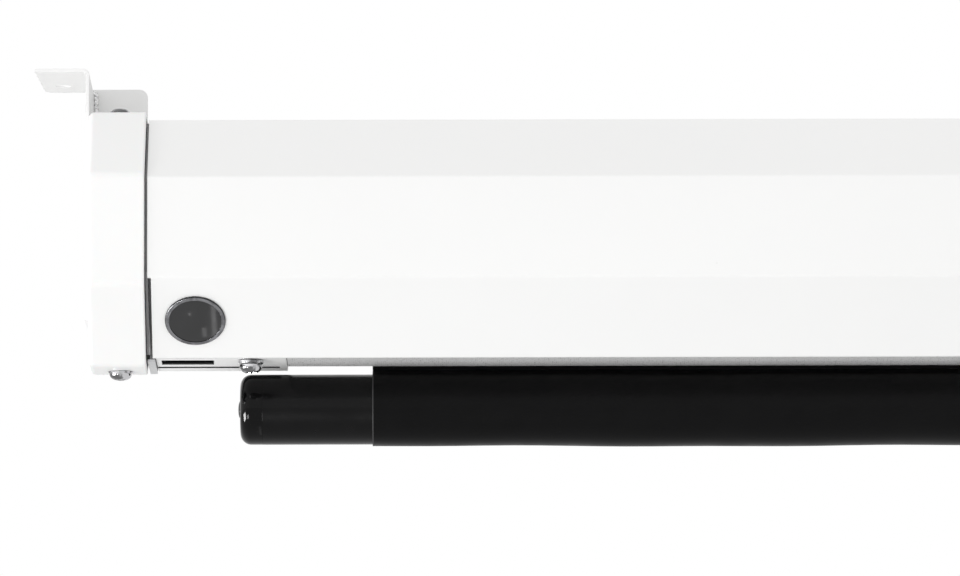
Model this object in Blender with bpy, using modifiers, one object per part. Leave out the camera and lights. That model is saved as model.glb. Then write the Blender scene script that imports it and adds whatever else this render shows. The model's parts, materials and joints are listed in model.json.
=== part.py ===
# Motorized projector screen, rolled up. A folded steel case with moulded end caps hangs from two welded
# brackets. A tubular motor turns the roller inside it, and the fabric carries a weight bar in its hem.
# X runs along the case, Y towards the wall and Z up. The origin lies on the ceiling plane, in the wall
# plane, half way along the case. Sizes are metres.

import math

import bmesh
import bpy
from mathutils import Matrix, Vector

# Fits
FIT_GAP = 0.0003
SCREW_CLEARANCE = 0.0003

# Case, a folded sheet: depths are taken from its front face and heights from its underside
CASE_LENGTH = 2.074
CASE_DEPTH = 0.080
CASE_HEIGHT = 0.085
CASE_SHEET = 0.0010
CASE_BEND = 0.0014
TOP_CHAMFER = 0.0235
LOW_CHAMFER = 0.0255
LIP_END = 0.0523
SLOT_WIDTH = 0.0085
SLOT_HEM = 0.0040
END_RELIEF = 0.0013

# End caps, moulded, over the case's ends
SEAM = 0.0010
CAP_WIDTH = 0.0200
CAP_WALL = 0.0020
CAP_PROUD = 0.0020
CAP_RISE = 0.0030
CAP_DROP = 0.0030
CAP_EDGE = 0.0014
CAP_BOSS_RADIUS = 0.0050

# Plates that close the case's ends
PLATE_THICK = 0.0018
PLATE_RELIEF = 0.0030
PLATE_FOOT_END = 0.0650
LUG_REACH = 0.0165
LUG_THICK = 0.0020
LUG_HALF_WIDTH = 0.0060
EAR_REACH = 0.0120
EAR_THICK = 0.0015
EAR_HALF_WIDTH = 0.0044

# Brackets, a bent sheet with a rear plate welded to it
BRACKET_SHEET = 0.0013
BRACKET_BEND = 0.0022
CEILING_GAP = 0.0192
CAP_TO_BRACKET = 0.0005
FLANGE_REACH = 0.0182
BRACKET_FRONT = 0.0280
BRACKET_FOOT = 0.0140
BRACKET_CORNER = 0.0040
FLANGE_SLANT = 0.0022
REAR_PLATE_REACH = 0.0194
REAR_PLATE_CORNER = 0.0030
WELD_RADIUS = 0.0014
WELD_SIDES = 8
FIXING_HOLE = 0.0055
FLANGE_HOLE_DEPTH = 0.0640
WALL_SLOT_LENGTH = 0.0100
WALL_SLOT_HEIGHTS = (0.0240, 0.0700)

# Screws: head diameter, head height and shank diameter
PAN_HEAD = 0.0080
PAN_HEIGHT = 0.0031
PAN_SHANK = 0.0038
PAN_LENGTH = 0.0080
HEAD_RIM_SHARE = 0.25
HEAD_ROUNDNESS = 0.8
BOLT_HEAD = 0.0096
BOLT_HEAD_EDGE = 0.0002
BOLT_SHANK = 0.0048
BOLT_SEAT_ROOM = 0.00045
BOLT_SOCKET_RADIUS = 0.0017
BOLT_SOCKET_DEPTH = 0.0018
BOLT_DEPTH = 0.0600
BOLT_HEIGHTS = (0.0300, 0.0580)
BOLT_THREAD = 0.0040
BOLT_BOSS_RADIUS = 0.0045
CAP_SCREW_TOP_INSET = 0.0109
CAP_SCREW_LOW_INSET = 0.0104
CAP_SCREW_TOP_DEPTH = 0.0400
CAP_SCREW_LOW_DEPTH = 0.0380
CASE_SCREW_INSET = 0.0090
CASE_SCREW_TOP_DEPTH = 0.0510
CASE_SCREW_REAR_HEIGHT = 0.0450

# Covers that close the ends of the fabric slot
COVER_SHEET = 0.0008
COVER_END = 0.0486
COVER_SCREW_INSET = 0.0360
COVER_SCREW_DEPTH = 0.0310
WASHER_THICK = 0.0012
WASHER_RADIUS = 0.0045
COVER_SLOT_START = 0.0040
COVER_SLOT_END = 0.0460
COVER_SLOT_DEPTHS = (0.0485, 0.0585)
ACCESS_SLOT = (0.0042, 0.0225)
ACCESS_DEPTHS = (0.0327, 0.0457)

# Infrared eye, a round window in the lower front chamfer
EYE_INSET = 0.0167
EYE_HEIGHT = 0.0121
EYE_FLANGE_RADIUS = 0.0109
EYE_FLANGE_THICK = 0.0014
EYE_FLANGE_EDGE = 0.0003
EYE_BARREL_RADIUS = 0.0094
EYE_BARREL_LENGTH = 0.0060
EYE_BORE_RADIUS = 0.0078
EYE_GLASS_RADIUS = 0.0094
EYE_GLASS_THICK = 0.0010
EYE_GLASS_RIM = 0.0008
EYE_NUT_RADIUS = 0.0125
EYE_NUT_THICK = 0.0022
EYE_BOARD = (0.0220, 0.0170, 0.0012)
EYE_SENSOR = (0.0060, 0.0070, 0.0040)
EYE_SENSOR_EDGE = 0.0006
RECEIVER_CABLE = 0.0025
RECEIVER_LEAD = 0.0077
RECEIVER_STRAIGHT = 0.0015
RECEIVER_TURNS = ((0.0290, 0.0300, 0.01075), (0.0320, 0.0500, 0.01175), (0.0440, 0.0640, 0.0260))

# Roller
ROLLER_DEPTH = 0.0306
ROLLER_HEIGHT = 0.0435
TUBE_RADIUS = 0.0200
TUBE_WALL = 0.0010
TUBE_LEFT_INSET = 0.0450
TUBE_RIGHT_INSET = 0.0160

# Tubular motor
MOTOR_ROOM = 0.0015
MOTOR_WALL = 0.0012
MOTOR_LENGTH = 0.4300
HEAD_RIM = 0.0020
HEAD_SPIGOT = 0.0140
HEAD_BLOCK_LENGTH = 0.0233
HEAD_BLOCK_LOW = 0.0215
HEAD_BLOCK_FRONT = 0.0200
HEAD_BLOCK_REAR = 0.0480
HEAD_BLOCK_RISE = 0.0033
STUB_SIDE = 0.0100
STUB_REACH = 0.0070
STUB_NECK_RADIUS = 0.0038
CLIP_THICK = 0.0012
CLIP_RADIUS = 0.0100
LIMIT_UNIT_LENGTH = 0.0600
LIMIT_UNIT_WAIST = 0.75
MOTOR_CORE_LENGTH = 0.1300
MOTOR_CORE_WAIST = 0.85
COLLAR_SHARE = 0.12
GEARBOX_LENGTH = 0.0900
SHAFT_RADIUS = 0.0050
SHAFT_SOCKET = 0.0150
SHAFT_EDGE = 0.0005
WHEEL_WIDTH = 0.0250
WHEEL_RIBS = 6
WHEEL_GROOVE_RADIUS = 0.0030
CROWN_WIDTH = 0.0160
CROWN_FLANGE = 0.0020
LIMIT_SCREW_RADIUS = 0.0026
LIMIT_SCREW_LENGTH = 0.0080
LIMIT_SCREW_STAND = 0.0006
LIMIT_SCREW_EDGE = 0.0003
LIMIT_SCREW_DEPTH = 0.0390
LIMIT_SCREW_INSETS = (0.0100, 0.0170)
HEX_SOCKET_RADIUS = 0.0014
HEX_SOCKET_DEPTH = 0.0025
MOTOR_CABLE = 0.0050
MOTOR_CABLE_INSET = 0.0230
MOTOR_CABLE_DROP = 0.0060
MOTOR_CABLE_BEND = (0.0120, 0.0130)
CABLE_STRAIGHT = 0.0080

# Idler at the roller's other end
IDLER_PIN_RADIUS = 0.0040
IDLER_PIN_LENGTH = 0.0420
IDLER_NECK_RADIUS = 0.0032
IDLER_HEAD_RADIUS = 0.0065
IDLER_HEAD_THICK = 0.0020
BUSH_WALL = 0.0012
IDLER_PLUG_LENGTH = 0.0280
IDLER_FLANGE = 0.0020

# Fabric
FABRIC_THICK = 0.0004
FABRIC_INSET = 0.0790
FABRIC_SPARE = 0.1500
BAR_TRAVEL = 1.3000

# Weight bar
BAR_RADIUS = 0.0125
BAR_WALL = 0.0012
BAR_INSET = 0.0318
BAR_GAP = 0.0025
BAR_CAP_COLLAR = 0.0080
BAR_CAP_SPIGOT = 0.0160
BAR_CAP_EDGE = 0.0029
BAR_CAP_PIP_RADIUS = 0.0028
BAR_CAP_PIP = 0.0008
SLEEVE_APEX = 0.0140

# Control box and the bush where the supply enters
BOX_INSET = 0.0640
BOX_LENGTH = 0.1200
BOX_HEIGHTS = (0.0290, 0.0600)
BOX_THICK = 0.0170
BOX_EDGE = 0.0015
GROMMET_INSET = 0.0420
GROMMET_DEPTH = 0.0440
GROMMET_RADIUS = 0.0065
GROMMET_HOLE = 0.0042
GROMMET_LIP = 0.0015
GROMMET_LIP_RIM = 0.0009

# Smoothness of round and bent shapes
ROUND_SIDES = 32
SCREW_SIDES = 12
SHAFT_SIDES = 20
BEND_STEPS = 3
ARC_STEPS = 6
CLIP_STEPS = 20
NOSE_STEPS = 3
SLEEVE_STEPS = 28
SPIRAL_STEPS = 40
CABLE_STEPS = 4

# Places that follow from the sizes
FRONT_Y = -(BRACKET_SHEET + FIT_GAP + CASE_DEPTH)
UNDERSIDE_Z = -(CEILING_GAP + CASE_HEIGHT)
REAR_LOW_CHAMFER = CASE_DEPTH - LIP_END
CAP_OUTER = -(SEAM + CAP_WIDTH)
BRACKET_INNER = CAP_OUTER - CAP_TO_BRACKET
ROLL_INNER = TUBE_RADIUS + FIT_GAP
MOTOR_RADIUS = TUBE_RADIUS - TUBE_WALL - MOTOR_ROOM
HEAD_RADIUS = MOTOR_RADIUS + HEAD_RIM
ROLL_RADIUS = math.sqrt(ROLL_INNER**2 + (BAR_TRAVEL + FABRIC_SPARE) * FABRIC_THICK / math.pi)
FABRIC_DEPTH = ROLLER_DEPTH + ROLL_RADIUS + FIT_GAP + FABRIC_THICK / 2
SLEEVE_INNER = BAR_RADIUS + FIT_GAP
BAR_HEIGHT = -(BAR_GAP + BAR_RADIUS)
PLATE_INNER = FIT_GAP + PLATE_THICK
HEAD_START = PLATE_INNER + FIT_GAP
MOTOR_START = TUBE_LEFT_INSET - CROWN_FLANGE - FIT_GAP
MOTOR_END = MOTOR_START + MOTOR_LENGTH

# Local axes of a flat outline: level in X and Y, across in Y and Z, facing in X and Z
LEVEL = Matrix.Identity(3)
ACROSS = Matrix(((0, 0, 1), (1, 0, 0), (0, 1, 0)))
FACING = Matrix(((1, 0, 0), (0, 0, -1), (0, 1, 0)))

LEFT = -1
RIGHT = 1
SIDE_NAMES = {LEFT: "left", RIGHT: "right"}


def clear_scene():
    for item in list(bpy.data.objects):
        bpy.data.objects.remove(item, do_unlink=True)


clear_scene()
parts = bpy.data.collections.new("motorized_projector_screen")
cutters = bpy.data.collections.new("cutters")
for group in (parts, cutters):
    bpy.context.scene.collection.children.link(group)


def finish(name, colour, roughness, metallic=0.0, alpha=1.0):
    material = bpy.data.materials.new(name)
    material.use_nodes = True
    shader = material.node_tree.nodes["Principled BSDF"]
    shader.inputs["Base Color"].default_value = (*colour, 1.0)
    shader.inputs["Roughness"].default_value = roughness
    shader.inputs["Metallic"].default_value = metallic
    shader.inputs["Alpha"].default_value = alpha
    return material


WHITE_PAINT = finish("white_paint", (0.86, 0.86, 0.86), 0.45)
WHITE_PLASTIC = finish("white_plastic", (0.88, 0.88, 0.87), 0.40)
ZINC = finish("zinc_plate", (0.62, 0.62, 0.63), 0.35, 1.0)
CHROME = finish("chrome", (0.78, 0.78, 0.79), 0.12, 1.0)
DARK_GLASS = finish("dark_window", (0.03, 0.03, 0.035), 0.08, 0.0, 0.9)
BLACK_GLOSS = finish("black_gloss", (0.012, 0.012, 0.013), 0.18)
BLACK_PAINT = finish("black_paint", (0.014, 0.014, 0.015), 0.22)
BLACK_FABRIC = finish("black_fabric", (0.010, 0.010, 0.011), 0.38)
SCREEN_FABRIC = finish("screen_fabric", (0.84, 0.84, 0.83), 0.75)
BLACK_PLASTIC = finish("black_plastic", (0.025, 0.025, 0.027), 0.45)
GREY_PLASTIC = finish("grey_plastic", (0.30, 0.30, 0.31), 0.50)
GREEN_BOARD = finish("green_board", (0.03, 0.18, 0.07), 0.40)
ALUMINIUM = finish("aluminium", (0.66, 0.66, 0.67), 0.38, 1.0)
BRASS = finish("brass", (0.70, 0.52, 0.25), 0.35, 1.0)
RUBBER = finish("rubber", (0.03, 0.03, 0.03), 0.70)


# Places along the case, in its depth and in its height
def along(side, inset):
    return side * (CASE_LENGTH / 2 - inset)


def deep(depth):
    return FRONT_Y + depth


def high(height):
    return UNDERSIDE_Z + height


def span(side, first, last):
    return sorted((along(side, first), along(side, last)))


# Meshes
def stored(name, bm):
    bmesh.ops.recalc_face_normals(bm, faces=bm.faces)
    mesh = bpy.data.meshes.new(name)
    bm.to_mesh(mesh)
    bm.free()
    return mesh


def box_mesh(name, low, top):
    bm = bmesh.new()
    bmesh.ops.create_cube(bm, size=1.0)
    low, top = Vector(low), Vector(top)
    bmesh.ops.scale(bm, vec=top - low, verts=bm.verts)
    bmesh.ops.translate(bm, vec=(low + top) / 2, verts=bm.verts)
    return stored(name, bm)


def rod_mesh(name, radius, start, end, sides=ROUND_SIDES, end_radius=None):
    start, end = Vector(start), Vector(end)
    axis = end - start
    turn = Vector((0, 0, 1)).rotation_difference(axis).to_matrix().to_4x4()
    place = Matrix.Translation((start + end) / 2) @ turn
    bm = bmesh.new()
    bmesh.ops.create_cone(
        bm,
        cap_ends=True,
        segments=sides,
        radius1=radius,
        radius2=end_radius or radius,
        depth=axis.length,
        matrix=place,
    )
    return stored(name, bm)


def flat_mesh(name, outlines, thickness, axes, centre):
    curve = bpy.data.curves.new(name, "CURVE")
    curve.dimensions = "2D"
    curve.fill_mode = "BOTH"
    curve.extrude = thickness / 2
    for outline in outlines:
        spline = curve.splines.new("POLY")
        spline.points.add(len(outline) - 1)
        for point, (a, b) in zip(spline.points, outline):
            point.co = (a, b, 0, 1)
        spline.use_cyclic_u = True
    holder = bpy.data.objects.new(name, curve)
    cutters.objects.link(holder)
    graph = bpy.context.evaluated_depsgraph_get()
    filled = bpy.data.meshes.new_from_object(holder.evaluated_get(graph))
    bpy.data.objects.remove(holder)
    bm = bmesh.new()
    bm.from_mesh(filled)
    bpy.data.meshes.remove(filled)
    bmesh.ops.remove_doubles(bm, verts=bm.verts, dist=1e-6)
    bm.transform(Matrix.Translation(centre) @ axes.to_4x4())
    return stored(name, bm)


def sheet_mesh(name, points, x_low, x_high, outward):
    bm = bmesh.new()
    row = [bm.verts.new((x_low, y, z)) for y, z in points]
    edges = [bm.edges.new(pair) for pair in zip(row, row[1:])]
    swept = bmesh.ops.extrude_edge_only(bm, edges=edges)["geom"]
    moved = [item for item in swept if isinstance(item, bmesh.types.BMVert)]
    bmesh.ops.translate(bm, vec=(x_high - x_low, 0, 0), verts=moved)
    bm.faces.ensure_lookup_table()
    bm.normal_update()
    if sum(face.normal.dot(outward) * face.calc_area() for face in bm.faces) < 0:
        bmesh.ops.reverse_faces(bm, faces=bm.faces)
    mesh = bpy.data.meshes.new(name)
    bm.to_mesh(mesh)
    bm.free()
    return mesh


# Objects and the operations on them
def helper(mesh):
    obj = bpy.data.objects.new(mesh.name, mesh)
    obj.hide_render = True
    obj.display_type = "WIRE"
    cutters.objects.link(obj)
    return obj


def piece(name, mesh, material, parent=None):
    obj = bpy.data.objects.new(name, mesh)
    obj.data.materials.append(material)
    parts.objects.link(obj)
    if parent:
        obj.parent = parent
        mesh.transform(Matrix.Translation(-parent.location))
    return obj


def combine(obj, mesh, operation):
    tool = helper(mesh)
    modifier = obj.modifiers.new(mesh.name, "BOOLEAN")
    modifier.operation = operation
    modifier.solver = "EXACT"
    modifier.object = tool
    if obj.parent:
        tool.parent = obj.parent
        mesh.transform(Matrix.Translation(-obj.parent.location))


def add(obj, mesh):
    combine(obj, mesh, "UNION")


def cut(obj, mesh):
    combine(obj, mesh, "DIFFERENCE")


def bevel(obj, width, segments):
    modifier = obj.modifiers.new("rounded_edges", "BEVEL")
    modifier.width = width
    modifier.segments = segments
    modifier.limit_method = "ANGLE"
    modifier.angle_limit = math.radians(30)


def thicken(obj, thickness):
    modifier = obj.modifiers.new("sheet", "SOLIDIFY")
    modifier.thickness = thickness
    modifier.offset = -1
    modifier.use_even_offset = True


def turned(name, profile, base, direction, material, parent=None, sides=ROUND_SIDES):
    turn = Vector((0, 0, 1)).rotation_difference(Vector(direction)).to_matrix().to_4x4()
    bm = bmesh.new()
    row = [bm.verts.new((radius, 0, height)) for radius, height in profile]
    for pair in zip(row, row[1:]):
        bm.edges.new(pair)
    if profile[0][0] > 0:
        bm.edges.new((row[-1], row[0]))
    mesh = bpy.data.meshes.new(name)
    bm.to_mesh(mesh)
    bm.free()
    obj = bpy.data.objects.new(name, mesh)
    obj.data.materials.append(material)
    parts.objects.link(obj)
    obj.matrix_world = Matrix.Translation(base) @ turn
    if parent:
        obj.parent = parent
        obj.matrix_parent_inverse = Matrix.Translation(-parent.location)
    screw = obj.modifiers.new("turned", "SCREW")
    screw.axis = "Z"
    screw.steps = sides
    screw.render_steps = sides
    screw.use_merge_vertices = True
    screw.merge_threshold = 0.00001
    return obj


def pivot(name, place):
    empty = bpy.data.objects.new(name, None)
    empty.location = place
    empty.empty_display_size = 0.02
    parts.objects.link(empty)
    return empty


# Outlines
def octagon(front, rear, top, bottom, top_front, top_rear, low_rear, low_front):
    return [
        (front + low_front, bottom),
        (front, bottom + low_front),
        (front, top - top_front),
        (front + top_front, top),
        (rear - top_rear, top),
        (rear, top - top_rear),
        (rear, bottom + low_rear),
        (rear - low_rear, bottom),
    ]


def case_octagon(inward):
    # The case's section with every face moved inward by the same amount
    shrink = (2 - math.sqrt(2)) * inward
    return octagon(
        inward,
        CASE_DEPTH - inward,
        CASE_HEIGHT - inward,
        inward,
        TOP_CHAMFER - shrink,
        TOP_CHAMFER - shrink,
        REAR_LOW_CHAMFER - shrink,
        LOW_CHAMFER - shrink,
    )


def cap_octagon(inward):
    # Proud of the case in front and on top, lower than it, and flush with it behind
    shrink = (2 - math.sqrt(2)) * inward
    skew = math.sqrt(2)
    return octagon(
        -CAP_PROUD + inward,
        CASE_DEPTH - inward,
        CASE_HEIGHT + CAP_RISE - inward,
        -CAP_DROP + inward,
        TOP_CHAMFER + CAP_RISE + (1 - skew) * CAP_PROUD - shrink,
        TOP_CHAMFER + CAP_RISE - shrink,
        REAR_LOW_CHAMFER + CAP_DROP - shrink,
        LOW_CHAMFER + CAP_PROUD + (1 - skew) * CAP_DROP - shrink,
    )


def placed(points):
    return [(deep(depth), high(height)) for depth, height in points]


def folded(points, radius, steps=BEND_STEPS):
    # An open outline whose inner corners are arcs
    result = [points[0]]
    for before, corner, after in zip(points, points[1:], points[2:]):
        p, q, r = Vector(before), Vector(corner), Vector(after)
        first, second = (p - q).normalized(), (r - q).normalized()
        half = first.angle(second) / 2
        reach = radius / math.tan(half)
        centre = q + (first + second).normalized() * (radius / math.sin(half))
        start = q + first * reach - centre
        sweep = start.angle_signed(q + second * reach - centre)
        for step in range(steps + 1):
            turn = Matrix.Rotation(-sweep * step / steps, 2)
            result.append(tuple(centre + turn @ start))
    result.append(points[-1])
    return result


def stadium(x_low, x_high, y_low, y_high, steps=ARC_STEPS):
    # A slot with round ends, long in its first or its second direction
    width, height = x_high - x_low, y_high - y_low
    radius = min(width, height) / 2
    far = Vector((width / 2 - radius, height / 2 - radius))
    centre = Vector(((x_low + x_high) / 2, (y_low + y_high) / 2))
    lies = width >= height
    start = -math.pi / 2 if lies else 0
    points = []
    for end in (1, -1):
        for step in range(steps + 1):
            angle = start + math.pi * step / steps
            arc = Vector((math.cos(angle), math.sin(angle)))
            points.append(tuple(centre + far * end + radius * arc))
        start += math.pi
    return points


def circle(x, y, radius, sides=SCREW_SIDES):
    steps = [2 * math.pi * index / sides for index in range(sides)]
    return [(x + radius * math.cos(angle), y + radius * math.sin(angle)) for angle in steps]


def rectangle(x_low, x_high, y_low, y_high):
    return [(x_low, y_low), (x_high, y_low), (x_high, y_high), (x_low, y_high)]


# Screws
def pan_profile(head, height, shank, length, steps=3):
    arc = [math.radians(90) * step / steps for step in range(steps + 1)]
    rim = height * HEAD_RIM_SHARE
    dome = [(head / 2 * math.sin(a) ** HEAD_ROUNDNESS, rim + (height - rim) * math.cos(a)) for a in arc]
    dome[0] = (0.0, height)
    return dome + [(head / 2, 0), (shank / 2, 0), (shank / 2, -length), (0.0, -length)]


def pan_screw(name, base, direction, length=PAN_LENGTH):
    profile = pan_profile(PAN_HEAD, PAN_HEIGHT, PAN_SHANK, length)
    return turned(name, profile, base, direction, CHROME, sides=SCREW_SIDES)


PAN_HOLE = PAN_SHANK / 2 + SCREW_CLEARANCE
BOLT_HOLE = BOLT_SHANK / 2 + SCREW_CLEARANCE


# Flat-headed bolts, sunk level with the bracket's side plate
def bolt_profile(length):
    cone = (BOLT_HEAD - BOLT_SHANK) / 2
    return [(0.0, -BOLT_SOCKET_DEPTH), (BOLT_SOCKET_RADIUS, -BOLT_SOCKET_DEPTH), (BOLT_SOCKET_RADIUS, 0),
            (BOLT_HEAD / 2, 0), (BOLT_HEAD / 2, -BOLT_HEAD_EDGE),
            (BOLT_SHANK / 2, -BOLT_HEAD_EDGE - cone), (BOLT_SHANK / 2, -length), (0.0, -length)]


def bolt_seat(name, side, y, z):
    # The cone starts outside the side plate and ends where it meets the bolt's hole
    face = BRACKET_INNER - BRACKET_SHEET
    wide = BOLT_HEAD / 2 + BOLT_HEAD_EDGE + BOLT_SEAT_ROOM
    start = (along(side, face - BRACKET_SHEET), y, z)
    end = (along(side, face + wide - BOLT_HOLE), y, z)
    return rod_mesh(name, wide + BRACKET_SHEET, start, end, SCREW_SIDES, BOLT_HOLE)


# Folded case with its fabric slot, the openings at its ends and the screw holes
def case_outline():
    corners = case_octagon(0)
    slot_rear = LIP_END + SLOT_WIDTH
    path = [(LIP_END, SLOT_HEM), (LIP_END, 0), *corners[:7]]
    path += [(slot_rear, SLOT_WIDTH), (slot_rear, SLOT_WIDTH + SLOT_HEM)]
    return folded(placed(path), CASE_BEND)


def eye_axis():
    # Where the eye's axis leaves the lower chamfer, and the way it points
    depth = LOW_CHAMFER - EYE_HEIGHT
    place = Vector((along(LEFT, EYE_INSET), deep(depth), high(EYE_HEIGHT)))
    return place, Vector((0, -1, -1)).normalized()


def grommet_axis():
    # The supply comes in from the gap under the ceiling, through the case's flat top
    place = Vector((along(LEFT, GROMMET_INSET), deep(GROMMET_DEPTH), high(CASE_HEIGHT)))
    return place, Vector((0, 0, 1))


def case_screw_places(side):
    x = along(side, CASE_SCREW_INSET)
    top = Vector((x, deep(CASE_SCREW_TOP_DEPTH), high(CASE_HEIGHT)))
    rear = Vector((x, deep(CASE_DEPTH), high(CASE_SCREW_REAR_HEIGHT)))
    return {"top": (top, Vector((0, 0, 1))), "rear": (rear, Vector((0, 1, 0)))}


def make_case():
    half = CASE_LENGTH / 2
    mesh = sheet_mesh("case_shell", case_outline(), -half, half, Vector((0, -1, 0)))
    obj = piece("case_shell", mesh, WHITE_PAINT)
    thicken(obj, CASE_SHEET)
    reach = CASE_SHEET * 4
    notch_front = LOW_CHAMFER + CASE_BEND
    for side in (LEFT, RIGHT):
        label = SIDE_NAMES[side]
        low, top = span(side, -reach, COVER_END + FIT_GAP)
        notch_top = SLOT_WIDTH + FIT_GAP
        notch_rear = LIP_END + SLOT_WIDTH + CASE_SHEET + FIT_GAP
        cut(obj, box_mesh(f"slot_notch_{label}", (low, deep(notch_front), high(-reach)),
                          (top, deep(notch_rear), high(notch_top + SLOT_HEM))))
        low, top = span(side, -reach, PLATE_INNER + FIT_GAP)
        foot_top = PLATE_FOOT_END - LIP_END + 1.5 * CASE_SHEET + FIT_GAP
        cut(obj, box_mesh(f"foot_notch_{label}", (low, deep(notch_rear - reach), high(-reach)),
                          (top, deep(PLATE_FOOT_END + FIT_GAP), high(foot_top))))
        low, top = span(side, -reach, END_RELIEF)
        cut(obj, box_mesh(f"end_relief_{label}", (low, deep(-reach), high(-reach)),
                          (top, deep(CASE_DEPTH / 2), high(LOW_CHAMFER))))
        for place, outward in case_screw_places(side).values():
            cut(obj, rod_mesh(f"screw_hole_{label}", PAN_HOLE, place - outward * reach,
                              place + outward * reach, SCREW_SIDES))
    place, outward = eye_axis()
    eye_hole = EYE_BARREL_RADIUS + FIT_GAP
    cut(obj, rod_mesh("eye_hole", eye_hole, place - outward * reach, place + outward * reach))
    place, outward = grommet_axis()
    bush_hole = GROMMET_RADIUS + FIT_GAP
    cut(obj, rod_mesh("grommet_hole", bush_hole, place - outward * reach, place + outward * reach))


# End caps
def cap_screw_places(side):
    top_x, low_x = along(side, -CAP_SCREW_TOP_INSET), along(side, -CAP_SCREW_LOW_INSET)
    top = Vector((top_x, deep(CAP_SCREW_TOP_DEPTH), high(CASE_HEIGHT + CAP_RISE)))
    low = Vector((low_x, deep(CAP_SCREW_LOW_DEPTH), high(-CAP_DROP)))
    return {"top": (top, Vector((0, 0, 1))), "bottom": (low, Vector((0, 0, -1)))}


def lug_heights():
    # The screw lugs lie level with the end plate's top edge and with its foot
    top = CASE_HEIGHT - CASE_SHEET - FIT_GAP
    return {"top": (top - LUG_THICK, top), "bottom": (0, LUG_THICK)}


def make_end_cap(side):
    label = SIDE_NAMES[side]
    middle = (along(side, -SEAM) + along(side, CAP_OUTER)) / 2
    shell = flat_mesh(f"end_cap_{label}", [placed(cap_octagon(0))], CAP_WIDTH, ACROSS, (middle, 0, 0))
    obj = piece(f"end_cap_{label}", shell, WHITE_PLASTIC)
    bevel(obj, CAP_EDGE, 2)
    low, top = span(side, CAP_OUTER + CAP_WALL, CAP_WALL)
    room = flat_mesh(f"cap_room_{label}", [placed(cap_octagon(CAP_WALL))], top - low, ACROSS,
                     ((low + top) / 2, 0, 0))
    cut(obj, room)
    lugs = lug_heights()
    seats = {"top": lugs["top"][1] + FIT_GAP, "bottom": lugs["bottom"][0] - FIT_GAP}
    for level, (place, outward) in cap_screw_places(side).items():
        inner = Vector((place.x, place.y, high(seats[level])))
        outer = place - outward * CAP_WALL / 2
        add(obj, rod_mesh(f"cap_seat_{level}_{label}", CAP_BOSS_RADIUS, inner, outer, SCREW_SIDES))
        cut(obj, rod_mesh(f"cap_hole_{level}_{label}", PAN_HOLE, inner - outward * CAP_WALL,
                          place + outward * CAP_WALL, SCREW_SIDES))
    for height in BOLT_HEIGHTS:
        y, z = deep(BOLT_DEPTH), high(height)
        start = along(side, CAP_OUTER + CAP_WALL / 2)
        add(obj, rod_mesh(f"cap_boss_{label}", CAP_BOSS_RADIUS, (start, y, z), (along(side, 0), y, z),
                          SCREW_SIDES))
        cut(obj, rod_mesh(f"cap_bolt_hole_{label}", BOLT_HOLE, (along(side, CAP_OUTER - CAP_WALL), y, z),
                          (along(side, CAP_WALL), y, z), SCREW_SIDES))
        cut(obj, bolt_seat(f"cap_bolt_seat_{label}", side, y, z))
    for level, (place, outward) in cap_screw_places(side).items():
        pan_screw(f"cap_screw_{label}_{level}", place + outward * FIT_GAP, outward)


# End plates with lugs for the cap, ears for the case and threads for the bracket's bolts
def end_plate_outline():
    inset = CASE_SHEET + FIT_GAP
    corners = case_octagon(inset)
    foot_front = LOW_CHAMFER + CASE_BEND + FIT_GAP
    rise = corners[0][1] + corners[0][0] - foot_front
    rear_low = corners[6]
    foot_top = rear_low[1] - (rear_low[0] - PLATE_FOOT_END)
    # Its edge stays back from the lower front chamfer, where the case's sheet is relieved
    front_low = (corners[1][0], corners[1][1] + PLATE_RELIEF)
    outline = [(foot_front, 0), (foot_front, max(rise, inset) + PLATE_RELIEF), front_low, *corners[2:7]]
    return outline + [(PLATE_FOOT_END, foot_top), (PLATE_FOOT_END, 0)]


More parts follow.
